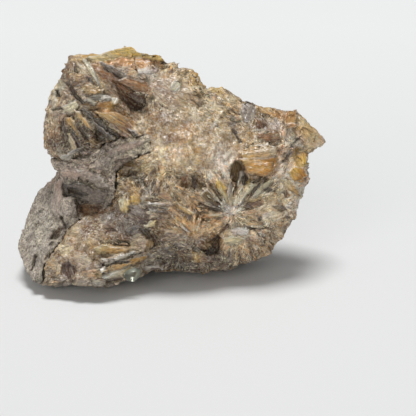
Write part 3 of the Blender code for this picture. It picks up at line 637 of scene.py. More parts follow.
# Upper left block.
UPPER_LEFT_FORMS = [
    ([(67, 63), (73, 61), (77, 64), (73, 76), (68, 79), (65, 74)], "rust", "umber", 0.3, -18),
    ([(77, 62), (84, 66), (88, 72), (82, 73), (76, 70)], "tan", "cream", 0.3, 0, 14),
    ([(76, 73), (84, 73), (86, 79), (78, 82), (74, 79)], "honey", "brown", 0.3, 0, 20),
    ([(65, 84), (71, 85), (75, 93), (69, 94)], "cream", "tan", 0.3, 0, 10),
    ([(86, 77), (92, 80), (96, 86), (90, 83)], "slate", "dark", -0.4),
    # The pale left rim, partly painted light.
    ([(55, 84), (60, 79), (64, 82), (62, 92), (58, 104), (52, 108), (51, 98)], "cream", "grey", 0.3, -20),
    ([(56, 91), (59, 90), (61, 97), (57, 100)], "dark", "dark", -1.0),
    ([(64, 82), (69, 80), (80, 96), (86, 104), (80, 103), (70, 94)], "umber", "dark", -0.6, 14),
    ([(51, 113), (62, 105), (76, 102), (80, 108), (70, 114), (60, 112), (53, 118)],
     "blush", "cream", 0.4, 0, 16),
    ([(51, 109), (60, 106), (62, 109), (54, 112)], "dark", "umber", -0.5),
    ([(65, 118), (71, 116), (77, 126), (82, 137), (77, 135), (70, 127)], "honey", "olive", 0.5, 12, 8),
    ([(73, 109), (80, 112), (88, 122), (93, 131), (87, 127), (78, 118)], "straw", "honey", 0.5, 0, 14),
    ([(76, 121), (82, 127), (88, 137), (92, 144), (86, 140), (79, 131)], "umber", "dark", -0.8, -12),
    ([(60, 121), (64, 120), (69, 137), (67, 145), (62, 137)], "umber", "dark", -0.9),
    ([(62, 134), (71, 133), (75, 144), (66, 148)], "umber", "dark", -0.6),
    ([(95, 130), (99, 127), (101, 136), (96, 138)], "dark", "dark", -0.9),
    ([(100, 137), (106, 136), (105, 142), (100, 141)], "dark", "slate", -0.7),
    ([(49, 110), (54, 112), (56, 126), (52, 136), (48, 130)], "tan", "brown", 0.2, -20),
    ([(46, 137), (55, 139), (60, 150), (54, 153), (48, 146)], "umber", "plum", 0.1, -10),
    ([(57, 146), (63, 148), (67, 160), (62, 169), (58, 158)], "cream", "grey", 0.2, -14),
    ([(66, 134), (70, 132), (77, 148), (80, 158), (74, 154)], "cream", "tan", 0.5, 14),
    ([(70, 130), (74, 131), (82, 146), (84, 152), (78, 147)], "dark", "plum", -0.8),
    ([(60, 158), (72, 150), (84, 146), (86, 149), (76, 154), (66, 162)], "grey", "slate", 0.4, 0, 10),
    ([(86, 141), (94, 139), (104, 144), (102, 149), (92, 147)], "honey", "umber", 0.3, 0, 18),
    ([(88, 149), (102, 146), (114, 144), (114, 147), (98, 152)], "dark", "umber", -0.6),
    ([(92, 118), (98, 124), (108, 133), (118, 142), (110, 141), (98, 131)], "mauve", "slate", 0.5, 0, 12),
    ([(78, 163), (84, 160), (88, 164), (86, 169), (80, 168)], "honey", "umber", 0.3, 0, 14),
    ([(90, 155), (98, 153), (102, 160), (95, 165), (90, 161)], "tan", "umber", 0.2, 12),
]

# Scaly slope, the notches along the top and the pale middle.
MIDDLE_FORMS = [
    ([(150, 92), (158, 80), (174, 75), (190, 86), (202, 102), (196, 112), (178, 110), (160, 104)],
     "blush", "tan", 0.1),
    ([(190, 72), (200, 73), (203, 78), (202, 86), (194, 84), (190, 79)], "honey", "gold", 0.3, 12),
    ([(208, 86), (216, 85), (225, 85), (223, 90), (212, 91)], "straw", "gold", 0.3, 0, 16),
    ([(211, 93), (215, 92), (216, 100), (211, 100)], "amber", "brown", 0.3, 10),
    ([(171, 83), (177, 80), (182, 84), (181, 90), (175, 92), (171, 89)], "white", "cream", 0.4, 0, 12),
    ([(160, 74), (165, 75), (165, 79), (161, 79)], "russet", "orange", 0.1),
    ([(184, 92), (190, 90), (194, 98), (188, 102)], "tan", "brown", 0.2, 16),
    ([(196, 100), (201, 99), (206, 107), (201, 110)], "grey", "slate", 0.2, -16),
    ([(210, 102), (215, 101), (218, 106), (214, 110), (210, 108)], "grey", "cream", 0.3, 12),
    ([(190, 106), (196, 108), (202, 120), (196, 122), (190, 114)], "cream", "grey", 0.2, 14),
    ([(210, 128), (216, 118), (222, 110), (224, 112), (218, 121), (212, 131)], "white", "cream", 0.2, 0, 12),
    ([(226, 96), (236, 95), (241, 100), (238, 106), (228, 104)], "cream", "tan", 0.2, 10, 10),
    ([(235, 134), (239, 136), (243, 142), (239, 144)], "umber", "dark", -0.6),
    ([(230, 128), (234, 127), (238, 134), (233, 134)], "umber", "slate", -0.5),
    ([(166, 136), (171, 133), (176, 138), (172, 142), (168, 141)], "rust", "brown", 0.1),
    ([(178, 139), (187, 138), (188, 142), (181, 144)], "brown", "honey", 0.1),
    ([(166, 124), (174, 122), (178, 131), (170, 133)], "brown", "honey", 0.1),
    ([(194, 147), (202, 146), (206, 152), (199, 156), (194, 153)], "honey", "tan", -0.2),
    ([(140, 164), (148, 162), (152, 169), (146, 174), (140, 171)], "straw", "honey", 0.3, 0, 12),
    ([(181, 177), (187, 176), (188, 183), (185, 187), (182, 184)], "rust", "brown", -0.3),
    ([(192, 176), (196, 175), (198, 182), (197, 187), (193, 184)], "slate", "umber", -0.3),
    ([(198, 182), (206, 184), (207, 187), (200, 189)], "olive", "umber", -0.2),
]

# Lumps and facets at the right.
RIGHT_EDGE_FORMS = [
    ([(253, 102), (262, 104), (274, 108), (284, 110), (286, 116), (278, 119), (268, 114), (256, 109)],
     "straw", "orange", 0.3, 0, 18),
    ([(242, 104), (248, 100), (254, 103), (257, 112), (252, 120), (244, 122), (241, 112)],
     "lilac", "mauve", 0.4, 10),
    ([(255, 119), (262, 118), (267, 122), (268, 128), (262, 131), (257, 129)], "rust", "umber", 0.4, -10, 8),
    ([(258, 132), (270, 129), (279, 132), (281, 138), (274, 142), (264, 141), (257, 137)],
     "russet", "brown", 0.4, 0, 14),
    ([(257, 130), (266, 127), (275, 129), (272, 131), (264, 131)], "cream", "blush", 0.3),
    ([(271, 122), (278, 120), (282, 126), (278, 131), (272, 130)], "lilac", "blush", 0.4, 10),
    ([(284, 116), (288, 111), (295, 111), (298, 118), (296, 126), (289, 128), (284, 123)],
     "orange", "honey", 0.4, 8, 6),
    ([(286, 124), (292, 122), (297, 126), (292, 129), (287, 128)], "russet", "orange", 0.5, 0, -14),
    ([(300, 117), (310, 124), (319, 132), (313, 135), (308, 140), (302, 136), (298, 126)],
     "straw", "honey", 0.3, 14),
    ([(311, 134), (318, 133), (323, 139), (320, 146), (312, 146), (308, 140)], "straw", "orange", 0.3, 12, 6),
    ([(303, 151), (308, 145), (320, 147), (312, 151), (306, 156)], "straw", "honey", 0.2, 0, -14),
    ([(283, 132), (290, 128), (297, 132), (297, 140), (290, 144), (284, 140)],
     "lilac", "cream", 0.2, -10, 10),
    ([(288, 142), (298, 138), (303, 143), (296, 149), (289, 148)], "cream", "lilac", 0.3, 0, 12),
    ([(288, 150), (292, 152), (288, 160), (284, 162)], "slate", "umber", -0.5),
    ([(297, 152), (305, 153), (307, 165), (300, 167), (295, 160)], "honey", "gold", 0.4, 18),
    ([(288, 172), (294, 166), (303, 167), (307, 176), (303, 183), (294, 182)], "gold", "amber", 0.6, 8, 6),
    ([(300, 187), (307, 184), (309, 196), (304, 206), (299, 200)], "grey", "cream", 0.3, 20),
]

# The amber plate and the dark slot beside it.
PLATE_FORMS = [
    ([(238, 153), (246, 147), (256, 144), (268, 144), (276, 148), (277, 156), (266, 160), (252, 160),
      (242, 158)], "honey", "tan", 0.5, 0, 4),
    ([(239, 159), (252, 158), (266, 158), (277, 156), (276, 166), (270, 174), (264, 177), (256, 175),
      (248, 173), (244, 166)], "honey", "amber", 0.8, 0, -8),
    ([(231, 166), (236, 160), (241, 161), (245, 169), (241, 173), (238, 182), (235, 190), (232, 184),
      (230, 174)], "olive", "umber", -1.4),
    ([(243, 170), (248, 176), (252, 181), (246, 186), (241, 184), (241, 176)], "dark", "dark", -1.4),
    ([(240, 172), (243, 172), (242, 179), (239, 181)], "white", "grey", 0.0),
]

# Large spray.
LARGE_SPRAY_FORMS = [
    ([(229, 204), (227, 194), (223, 182), (217, 178), (216, 184), (221, 192), (226, 203)],
     "cream", "gold", 0.5, -16),
    ([(222, 202), (220, 194), (216, 186), (212, 183), (213, 190), (218, 198)], "umber", "dark", -1.3),
    ([(222, 206), (218, 199), (212, 188), (207, 186), (210, 193), (217, 202)], "cream", "tan", 0.3, 14),
    ([(231, 206), (234, 204), (234, 190), (232, 181), (229, 186), (228, 196)], "cream", "lilac", 0.4, -16),
    ([(235, 207), (237, 206), (241, 196), (240, 184), (236, 189), (234, 200)], "grey", "cream", 0.0, 16),
    ([(239, 205), (246, 198), (254, 188), (259, 180), (253, 182), (246, 190), (240, 199)],
     "white", "cream", 0.5, -14),
    ([(242, 197), (248, 190), (254, 180), (250, 177), (244, 185)], "cream", "gold", 0.3, 14),
    ([(247, 200), (254, 194), (262, 184), (260, 182), (252, 190)], "umber", "dark", -0.9),
    ([(250, 200), (258, 196), (266, 188), (274, 182), (270, 179), (262, 184), (254, 193)],
     "grey", "cream", 0.4, -12),
    ([(264, 190), (270, 186), (273, 190), (267, 193)], "slate", "dark", -0.4),
    ([(222, 209), (212, 206), (203, 200), (201, 193), (207, 189), (214, 197), (220, 203)],
     "umber", "olive", 0.5, 0, 14),
    ([(222, 211), (216, 212), (206, 208), (198, 203), (200, 201), (208, 205), (216, 208)],
     "dark", "umber", -1.3),
    ([(224, 214), (214, 214), (202, 214), (200, 218), (212, 218), (224, 217)],
     "straw", "orange", 0.4, 0, -12),
    ([(222, 220), (212, 220), (201, 223), (204, 228), (214, 227), (222, 224)], "honey", "orange", 0.3, 0, 12),
    ([(216, 231), (208, 230), (200, 231), (202, 238), (212, 237)], "rust", "brown", 0.1, 0, 10),
    ([(243, 208), (250, 202), (261, 201), (264, 204), (254, 206), (247, 210)], "umber", "brown", -0.8),
    ([(244, 206), (250, 199), (262, 198), (258, 201), (250, 203)], "straw", "honey", 0.4, 0, -12),
    ([(244, 213), (256, 209), (270, 213), (262, 217), (250, 217)], "orange", "russet", 0.1, 0, 12),
    ([(242, 219), (252, 219), (264, 222), (262, 226), (250, 225)], "honey", "brown", 0.2, 0, 10),
    ([(241, 222), (247, 226), (258, 228), (270, 227), (262, 230), (248, 230)], "umber", "dark", -0.8),
    ([(264, 200), (272, 198), (278, 202), (270, 206), (264, 205)], "cream", "tan", 0.2, 0, 10),
    ([(262, 214), (272, 211), (281, 213), (276, 219), (265, 220)], "white", "cream", 0.2, 0, 10),
    ([(257, 216), (262, 216), (262, 221), (258, 221)], "umber", "dark", -0.6),
    ([(282, 192), (287, 189), (290, 195), (285, 199)], "umber", "russet", -0.8),
    ([(281, 178), (290, 180), (298, 190), (300, 198), (292, 192), (284, 186)], "cream", "honey", 0.4, 12),
    ([(272, 206), (282, 205), (288, 210), (280, 212)], "olive", "umber", -0.4),
    ([(229, 229), (240, 227), (251, 230), (246, 235), (234, 235)], "blush", "white", 0.6, 0, 14),
    ([(224, 237), (236, 236), (246, 238), (238, 244), (224, 243)], "cream", "straw", 0.4, 0, 14),
    ([(231, 227), (224, 232), (219, 234), (221, 227), (227, 223)], "umber", "brown", -1.0),
    ([(212, 240), (219, 233), (221, 246), (218, 254), (206, 255), (202, 250), (211, 248)],
     "umber", "dark", -1.8),
    ([(200, 240), (210, 239), (212, 247), (206, 250), (200, 247)], "brown", "olive", 0.4, 0, 14),
]

# Small spray.
SMALL_SPRAY_FORMS = [
    ([(191, 235), (196, 234), (197, 238), (192, 240)], "rust", "russet", 0.3),
    ([(190, 233), (186, 228), (180, 222), (184, 230)], "white", "cream", 0.4),
    ([(196, 233), (197, 226), (200, 218), (198, 230)], "cream", "tan", 0.4),
    ([(187, 212), (191, 211), (193, 218), (190, 222), (187, 219)], "umber", "slate", -0.8),
    ([(196, 214), (186, 207), (176, 203), (180, 209), (190, 215)], "straw", "honey", 0.4, 0, -16),
    ([(184, 222), (182, 214), (174, 207), (168, 206), (170, 212), (177, 218)], "brown", "orange", 0.3, 0, 16),
    ([(200, 208), (190, 201), (178, 191), (170, 184), (170, 189), (182, 199), (196, 208)],
     "honey", "tan", 0.3, 0, 14),
    ([(188, 233), (180, 230), (170, 224), (172, 228), (181, 234)], "orange", "honey", 0.4, 0, -16),
    ([(190, 239), (186, 234), (170, 232), (156, 233), (158, 239), (172, 240)], "mauve", "umber", 0.2, 0, 12),
    ([(172, 243), (186, 242), (196, 247), (190, 250), (176, 248)], "grey", "lilac", 0.3, 0, 12),
    ([(192, 250), (200, 248), (204, 250), (198, 252)], "dark", "dark", -0.7),
]

# The brush of silvery blades, the golden teeth and fibres.
BRUSH_FORMS = [
    ([(140, 197), (149, 195), (153, 197), (143, 200)], "white", "cream", 0.3),
    ([(138, 204), (147, 202), (149, 204), (140, 207)], "cream", "grey", 0.3),
    ([(141, 184), (146, 188), (150, 195), (146, 194)], "white", "grey", 0.3),
    ([(147, 202), (168, 204), (169, 206), (148, 204)], "white", "brown", 0.4, 0, -16),
    ([(146, 206), (168, 207), (168, 209), (148, 208)], "umber", "slate", -0.4),
    ([(147, 209), (166, 211), (167, 213), (150, 211)], "white", "brown", 0.4, 0, -16),
    ([(155, 215), (168, 213), (171, 219), (158, 222), (151, 219)], "brown", "umber", 0.3, 0, 14),
    ([(156, 192), (168, 194), (172, 200), (158, 199)], "brown", "orange", 0.1, 0, 12),
    ([(119, 201), (124, 196), (129, 200), (131, 207), (126, 213), (121, 210)], "cream", "gold", 0.6, 0, 10),
    ([(130, 196), (138, 193), (142, 199), (138, 206), (131, 203)], "gold", "honey", 0.4, 0, 12),
    ([(143, 226), (150, 221), (157, 220), (157, 224), (148, 229)], "cream", "straw", 0.4, 0, 14),
    ([(116, 162), (126, 160), (136, 162), (139, 170), (132, 176), (120, 174), (114, 168)],
     "umber", "olive", -0.7),
    ([(128, 170), (138, 172), (134, 178), (127, 176)], "dark", "umber", -0.8),
    ([(141, 181), (144, 180), (146, 186), (143, 186)], "dark", "dark", -0.8),
    ([(118, 180), (130, 178), (139, 189), (145, 198), (136, 197), (124, 192)], "brown", "honey", 0.1),
]

# Dark crust of the lower middle.
DARK_CRUST_FORMS = [
    ([(128, 206), (136, 205), (144, 210), (150, 216), (146, 224), (136, 222), (128, 216)],
     "mauve", "plum", -0.1),
    ([(100, 214), (112, 212), (116, 220), (108, 228), (100, 224)], "grey", "slate", 0.3, 0, 12),
    ([(103, 227), (112, 226), (117, 231), (106, 234)], "rust", "dark", -0.5),
    ([(118, 222), (127, 219), (130, 228), (122, 232)], "slate", "grey", 0.2, 0, 10),
    ([(130, 226), (140, 225), (142, 231), (132, 236), (126, 232)], "slate", "plum", -0.2),
    ([(139, 229), (150, 231), (156, 236), (157, 244), (153, 248), (151, 240), (146, 235), (140, 233)],
     "dark", "umber", -1.3),
    ([(146, 240), (152, 238), (154, 246), (150, 251), (145, 248)], "honey", "tan", 0.5, 0, 10),
    ([(129, 243), (133, 239), (136, 233), (142, 232), (143, 238), (148, 241), (146, 247), (142, 251),
      (136, 246), (131, 246)], "cream", "blush", 0.3, 0, 6),
]

# Lower left crust and its ledges.
LOWER_LEFT_FORMS = [
    ([(100, 268), (106, 265), (112, 268), (108, 273), (102, 273)], "white", "cream", 0.4, 0, 10),
    ([(108, 243), (116, 240), (128, 241), (131, 243), (128, 246), (114, 245)], "umber", "dark", -1.3),
    ([(94, 248), (104, 245), (118, 247), (130, 249), (126, 252), (112, 254), (100, 254), (96, 252)],
     "straw", "honey", 0.5, 0, 16),
    ([(104, 262), (116, 257), (130, 251), (138, 251), (134, 255), (120, 261), (108, 266)],
     "mauve", "grey", 0.4, 0, -18),
    ([(106, 265), (120, 260), (134, 254), (136, 256), (122, 262), (108, 268)], "dark", "umber", -0.7),
    ([(102, 270), (116, 263), (134, 257), (146, 255), (148, 258), (130, 265), (112, 272)],
     "tan", "honey", 0.5, 0, -18),
    ([(112, 263), (124, 260), (133, 262), (124, 264)], "dark", "dark", -0.6),
    ([(100, 276), (114, 272), (130, 266), (136, 268), (122, 275), (106, 279)], "white", "straw", 0.5, 0, -14),
    ([(106, 280), (120, 276), (123, 278), (110, 283)], "dark", "umber", -0.8),
    ([(101, 257), (109, 257), (108, 260), (102, 260)], "white", "white", 0.5),
    ([(94, 264), (104, 262), (104, 266), (96, 269)], "white", "umber", 0.2),
    ([(58, 247), (66, 243), (72, 248), (68, 256), (60, 255)], "cream", "straw", 0.2, 0, 12),
    ([(52, 266), (58, 264), (62, 270), (56, 275)], "cream", "honey", 0.2, -10),
    ([(66, 228), (76, 226), (82, 232), (76, 238), (68, 236)], "cream", "tan", 0.3, 0, 12),
    ([(78, 224), (92, 220), (98, 226), (92, 235), (82, 233)], "umber", "brown", 0.2, 0, 10),
    ([(84, 240), (92, 238), (97, 244), (90, 248)], "straw", "honey", 0.2, 0, 12),
    ([(76, 238), (84, 236), (88, 244), (80, 250), (74, 246)], "mauve", "tan", 0.1),
    ([(74, 256), (86, 254), (92, 262), (84, 268), (76, 264)], "blush", "cream", 0.2, 0, 14),
    ([(88, 270), (98, 268), (104, 274), (96, 279), (88, 276)], "orange", "straw", 0.2, 0, 10),
    ([(61, 264), (68, 261), (75, 266), (74, 276), (67, 281), (62, 272)], "plum", "umber", -0.7),
    ([(46, 262), (54, 258), (58, 262), (52, 268)], "honey", "tan", 0.3),
    ([(60, 281), (72, 279), (76, 282), (66, 284)], "dark", "umber", -0.6),
    ([(76, 281), (92, 280), (106, 282), (108, 287), (90, 288), (78, 286)], "mauve", "grey", 0.3, 0, -14),
]

# Shaded slope above the lower edge. Its dark and umber colours are painted shade.
LOWER_EDGE_FORMS = [
    ([(158, 249), (168, 247), (176, 252), (170, 259), (160, 257)], "dark", "slate", 0.1),
    ([(176, 250), (188, 252), (196, 259), (188, 263), (178, 259)], "rust", "umber", 0.1),
    ([(192, 255), (198, 252), (201, 261), (195, 264)], "gold", "honey", 0.3, 0, 12),
    ([(184, 265), (200, 262), (208, 268), (198, 272), (187, 271)], "dark", "umber", 0.1),
    ([(201, 256), (212, 256), (216, 262), (206, 268), (201, 262)], "brown", "umber", 0.2, 0, 10),
    ([(144, 268), (158, 266), (170, 270), (168, 274), (150, 274)], "mauve", "umber", 0.4, 0, -10),
    ([(172, 271), (190, 274), (206, 273), (206, 277), (188, 278), (172, 275)], "grey", "tan", 0.2, 0, -10),
]

GYPSUM_FORMS = (
    CREST_FORMS + LEAF_FORMS + UPPER_LEFT_FORMS + MIDDLE_FORMS + RIGHT_EDGE_FORMS + PLATE_FORMS
    + LARGE_SPRAY_FORMS + SMALL_SPRAY_FORMS + BRUSH_FORMS + DARK_CRUST_FORMS + LOWER_LEFT_FORMS
    + LOWER_EDGE_FORMS
)

# The wedge and its lit ridge, the tongue and the slit of the foot.
WEDGE_FORMS = [
    ([(40, 196), (46, 188), (54, 184), (53, 195), (50, 205), (45, 204)], "mauve", "slate", 0.1, -8),
    ([(56, 180), (62, 178), (64, 188), (62, 198), (59, 206), (62, 217), (59, 219), (52, 212), (52, 202),
      (54, 192)], "blush", "lilac", 0.5, 16),
    ([(37, 284), (38, 264), (44, 246), (50, 232), (54, 236), (48, 252), (44, 268), (43, 284)],
     "grey", "lilac", 0.2),
    ([(31, 272), (32, 262), (35, 253), (37, 256), (34, 268)], "dark", "dark", -1.2),
    ([(50, 239), (54, 231), (60, 226), (64, 228), (60, 233), (61, 237), (56, 241)], "dark", "umber", -0.5),
    ([(47, 247), (50, 243), (55, 242), (54, 246)], "dark", "dark", -0.4),
    ([(44, 262), (46, 254), (50, 250), (50, 256)], "umber", "dark", -0.3),
    ([(59, 214), (62, 216), (68, 227), (65, 229)], "dark", "dark", -0.9),
    ([(26, 238), (32, 232), (34, 236), (29, 243)], "slate", "mauve", -0.2),
    ([(20, 256), (27, 250), (31, 258), (27, 268), (21, 264)], "mauve", "lilac", 0.2, -14),
]

# The nodule, its dark ring and the pocket beside it.
NODULE_FORMS = [
    ([(61, 203), (65, 198), (71, 197), (76, 201), (78, 208), (75, 215), (68, 217), (62, 212)],
     "lilac", "slate", 0.2),
    ([(74, 197), (79, 200), (82, 208), (80, 216), (75, 219), (78, 208)], "dark", "umber", -0.8),
    ([(80, 205), (90, 204), (104, 205), (99, 212), (92, 216), (83, 216)], "russet", "umber", -0.5),
]

# The recess and the blush band above it.
RECESS_FORMS = [
    ([(62, 182), (74, 182), (86, 186), (98, 190), (108, 190), (104, 202), (90, 203), (82, 199), (74, 194),
      (64, 196)], "slate", "mauve", 0.9, 0, 8),
    ([(68, 188), (78, 189), (88, 194), (80, 195), (70, 192)], "umber", "slate", -0.3),
    ([(60, 171), (70, 168), (84, 170), (94, 174), (104, 180), (110, 187), (103, 188), (92, 184), (80, 180),
      (70, 178), (62, 177)], "blush", "lilac", 0.5, 0, -8),
    ([(98, 173), (104, 171), (111, 175), (109, 178), (102, 177)], "dark", "umber", -0.7),
    ([(88, 171), (97, 175), (97, 177), (89, 173)], "dark", "slate", -0.5),
    ([(58, 164), (70, 162), (84, 165), (90, 169), (76, 169), (62, 169)], "mauve", "slate", 0.2, 0, 12),
]

# The shaded ridge that runs up between the gypsum blocks.
RIDGE_FORMS = [
    ([(92, 164), (102, 158), (114, 154), (112, 162), (102, 170), (94, 170)], "lilac", "slate", 0.3, 0, -12),
    ([(104, 152), (118, 146), (134, 142), (146, 140), (140, 146), (124, 152), (110, 157)],
     "mauve", "blush", 0.4, 0, 14),
    ([(112, 159), (124, 155), (134, 152), (136, 154), (124, 160), (114, 163)], "blush", "mauve", 0.1, 0, 8),
    ([(120, 161), (132, 157), (140, 155), (136, 161), (124, 165)], "blush", "slate", 0.2, 0, 10),
]

STONE_FORMS = WEDGE_FORMS + NODULE_FORMS + RECESS_FORMS + RIDGE_FORMS

# How far a form reaches round its outline, in steps, and how square to the view the face must be there. How
# far off the face may lie, and how far it is brought forward and pushed back at most, in mm.
FORM_MARGIN = 4
FORM_LEAST_FACING = 0.05
FORM_REACH = 9
FORM_FORWARD, FORM_BACK = 8.0, 3.5
# The steepest plane that is fitted to the face, in mm per step.
STEEPEST_FORM = 0.9 * GRID_STEP / MM
# Flat forms have a lift from nothing up to this. They blend into the face more softly than the others: each
# kind has its strength, the width of its blurred edge in steps and how far that edge wanders.
FLAT_LIFT = 0.3
FLAT_BLEND, FULL_BLEND = (0.55, 2.6, 1.6), (1.0, 1.3, 0.7)
# How strongly a form's upper rim gets a painted highlight, and its foot and the face just below it painted
# shade.
RAISED_EDGE_LIGHT_AND_SHADE, LOW_EDGE_LIGHT_AND_SHADE = (0.55, 0.35, 0.6), (0.1, 0.0, 0.0)
# How wide the painted highlight on the rim and the painted shade at the foot are, in steps.
RIM_WIDTH, FOOT_WIDTH = 1.4, 1.6
# How quickly a form's stripes change along it and across it, per step.
STRIPES_ALONG, STRIPES_ACROSS = 0.05, 0.5
# How strong and how disordered the small blades of the material are on a form.
FORM_LIVELY, FORM_DISORDER = 0.4, 0.15
# In how many places the face must be met for a form to be laid on it.
FORM_LEAST_MET = 4


def outline_distance(columns, rows, outline):
    """How far inside an outline each position lies, in steps. Outside it is negative."""
    best = np.full(len(columns), 1e9)
    for (x0, y0), (x1, y1) in zip(outline, np.roll(outline, -1, axis=0)):
        length = max((x1 - x0) ** 2 + (y1 - y0) ** 2, 1e-9)
        share = np.clip(((columns - x0) * (x1 - x0) + (rows - y0) * (y1 - y0)) / length, 0, 1)
        best = np.minimum(best, np.hypot(columns - x0 - share * (x1 - x0), rows - y0 - share * (y1 - y0)))
    return np.where(within(columns, rows, outline), best, -best)


def form_depth(form, columns, rows):
    """Depth in mm of a form's plane at grid positions."""
    start, per_column, per_row = form["plane"]
    return start + per_column * columns + per_row * rows


def laid_form(tree, outline, near, far, lift, lean_right=0, lean_up=0):
    """A form laid on the face: its plane is fitted to the face inside its outline, then lifted and leant.

    There is none where the face is met in too few places.
    """
    outline = np.array(outline, float)
    middle = outline.mean(0)
    spots = np.concatenate([outline * 0.9 + middle * 0.1, outline * 0.5 + middle * 0.5, middle[None]])
    hits, _, met = surface_points(tree, spots[:, 0], spots[:, 1])
    columns, rows, depths = locate(hits)
    table = np.stack([np.ones(len(columns)), columns - middle[0], rows - middle[1]], -1)[met]
    if met.sum() < FORM_LEAST_MET:
        return None
    start, per_column, per_row = np.linalg.lstsq(table, depths[met], rcond=None)[0]
    per_column = np.clip(per_column, -STEEPEST_FORM, STEEPEST_FORM)
    per_row = np.clip(per_row, -STEEPEST_FORM, STEEPEST_FORM)
    per_column = per_column - math.tan(math.radians(lean_right)) * GRID_STEP / MM
    per_row = per_row + math.tan(math.radians(lean_up)) * GRID_STEP / MM
    start = start - lift - per_column * middle[0] - per_row * middle[1]
    return {"outline": outline, "plane": (start, per_column, per_row), "near": near, "far": far, "lift": lift}


def form_colours(form, stripes, away):
    """A form's striped colours, from its first corner's to its far end's."""
    fade = ease(away / (away.max() * 0.7) + 0.5 * smooth_noise(stripes * 1.3, 92))[:, None]
    colour = linear(form["near"]) + fade * (linear(form["far"]) - linear(form["near"]))
    lines = 1 + 0.22 * smooth_noise(stripes * 2.6, 93) + 0.16 * smooth_noise(stripes * 6, 94)
    return colour * lines[:, None]


def pull(values, chosen, share, goal):
    """Moves the chosen values towards a goal by a share."""
    values[chosen] += share * (goal - values[chosen])


def set_form(form, index, state, columns, rows, facing):
    """Presses one crystal form into the face: its plane, its colours with a painted highlight on its upper
    rim and painted shade at its foot and below it, and the run of its stripes.
    """
    outline = form["outline"]
    low, high = outline.min(0) - FORM_MARGIN, outline.max(0) + FORM_MARGIN
    near = (columns > low[0]) & (columns < high[0]) & (rows > low[1]) & (rows < high[1])
    near &= np.abs(state["depths"] - form_depth(form, columns, rows)) < FORM_REACH
    near = np.flatnonzero(near & (facing > FORM_LEAST_FACING))
    x, y, facing = columns[near], rows[near], facing[near]
    flat = 0 <= form["lift"] <= FLAT_LIFT
    strength, blur, wander = FLAT_BLEND if flat else FULL_BLEND
    rim_light, foot_shade, gap_shade = RAISED_EDGE_LIGHT_AND_SHADE if form["lift"] > FLAT_LIFT else LOW_EDGE_LIGHT_AND_SHADE

    axis = np.linalg.svd(outline - outline.mean(0), full_matrices=False)[2][0]
    offset = np.stack([x, y], -1) - outline[0]
    along, across = offset @ axis, offset @ np.array((-axis[1], axis[0]))
    stripes = np.stack([along * STRIPES_ALONG, across * STRIPES_ACROSS, np.full(len(x), index * 3.7)], -1)
    wobble = wander * smooth_noise(np.stack([x, y, np.full(len(x), index)], -1) / 2.2, 96)
    distance = outline_distance(x, y, outline) + wobble
    share = ease(distance / blur + 0.5) * ease(facing * 2.5)
    relief = 0.5 * ease(distance / 9) - 0.12 * smooth_noise(stripes * 1.6, 90)
    relief -= 0.1 * smooth_noise(stripes * 4, 91)
    current = (state["moved"][near] - FACE_ORIGIN) @ SIGHT / MM
    shift = np.clip(form_depth(form, x, y) - relief - current, -FORM_FORWARD, FORM_BACK)
    state["moved"][near] += (shift * share * strength * MM)[:, None] * SIGHT

    colour = form_colours(form, stripes, np.hypot(offset[:, 0], offset[:, 1]))
    # Painted highlight along the upper rim, painted shade at the foot and on the face just below the form.
    upper = outline_distance(x, y - RIM_WIDTH, outline) + wobble
    lower = outline_distance(x, y + FOOT_WIDTH, outline) + wobble
    rim = ease(0.5 - upper / 1.2) * ease(0.7 + 1.4 * smooth_noise(stripes * 2, 95)) * rim_light
    colour += rim[:, None] * (linear("white") - colour)
    colour *= (1 - ease(0.5 - lower / 1.4) * foot_shade)[:, None]
    gap = ease(upper / 1.2 + 0.5) * ease(0.5 - distance / 1.2) * facing * gap_shade
    state["colour"][near] *= (1 - gap)[:, None]
    share *= strength
    pull(state["colour"], near, share[:, None], colour)
    pull(state["lively"], near, share, FORM_LIVELY)
    pull(state["disorder"], near, share, FORM_DISORDER)
    state["sugar"][near] *= 1 - 0.8 * share
    heading = axis[0] * FACE_RIGHT - axis[1] * FACE_UP
    state["heading"][near] = np.where(share[:, None] > 0.3, heading, state["heading"][near])


def finish_piece(obj, forms, tree, state, columns, rows, facing, brightest):
    """Presses the forms into the face in their order, moves the piece's vertices and stores their looks."""
    for index, form in enumerate(forms):
        laid = laid_form(tree, *form)
        if laid:
            set_form(laid, index, state, columns, rows, facing)
    state["colour"] = np.clip(state["colour"], 0.01, brightest)
    set_looks(obj.data, state)
    set_points(obj.data, state["moved"])
    return obj


# ---------------------------------------------------------------- the gypsum

# The blades of a spray: their width and length in steps, seed, tilt.
WIDE_BLADES = 3.4, 24, 11, 1.0
THIN_BLADES = 1.8, 12, 23, 1.0
# Broken blades in bundles: the size of a bundle and of a blade in mm, disorder, seed, tilt.
SHARDS = 8.0, (9.0, 1.9, 5.0), 0.7, 43, 1.2
FLAKES = 4.5, (4.5, 0.9, 3.0), 1.0, 31, 1.2
NEEDLES = 4.0, (4.0, 0.6, 2.0), 2.4, 37, 1.2
# How bright the crust and the mudstone may get at most, forms included.
CRUST_BRIGHTEST = 0.95
STONE_BRIGHTEST = 0.9


def fibre_cells(radius, angle, salt, width, length, seed, tilt):
    """Facets drawn out along a spray. They stay as wide on their way out, because they split."""
    jitter = smooth_noise(np.stack([angle * 6, radius / 12, salt], -1), seed)
    level = np.floor(np.log2(np.maximum(radius, 3) / 3) + 0.6 * jitter)
    around = angle * 3 * 2.0**level / width
    return facets(np.stack([radius / length, around, salt + level * 5], -1), seed, tilt)


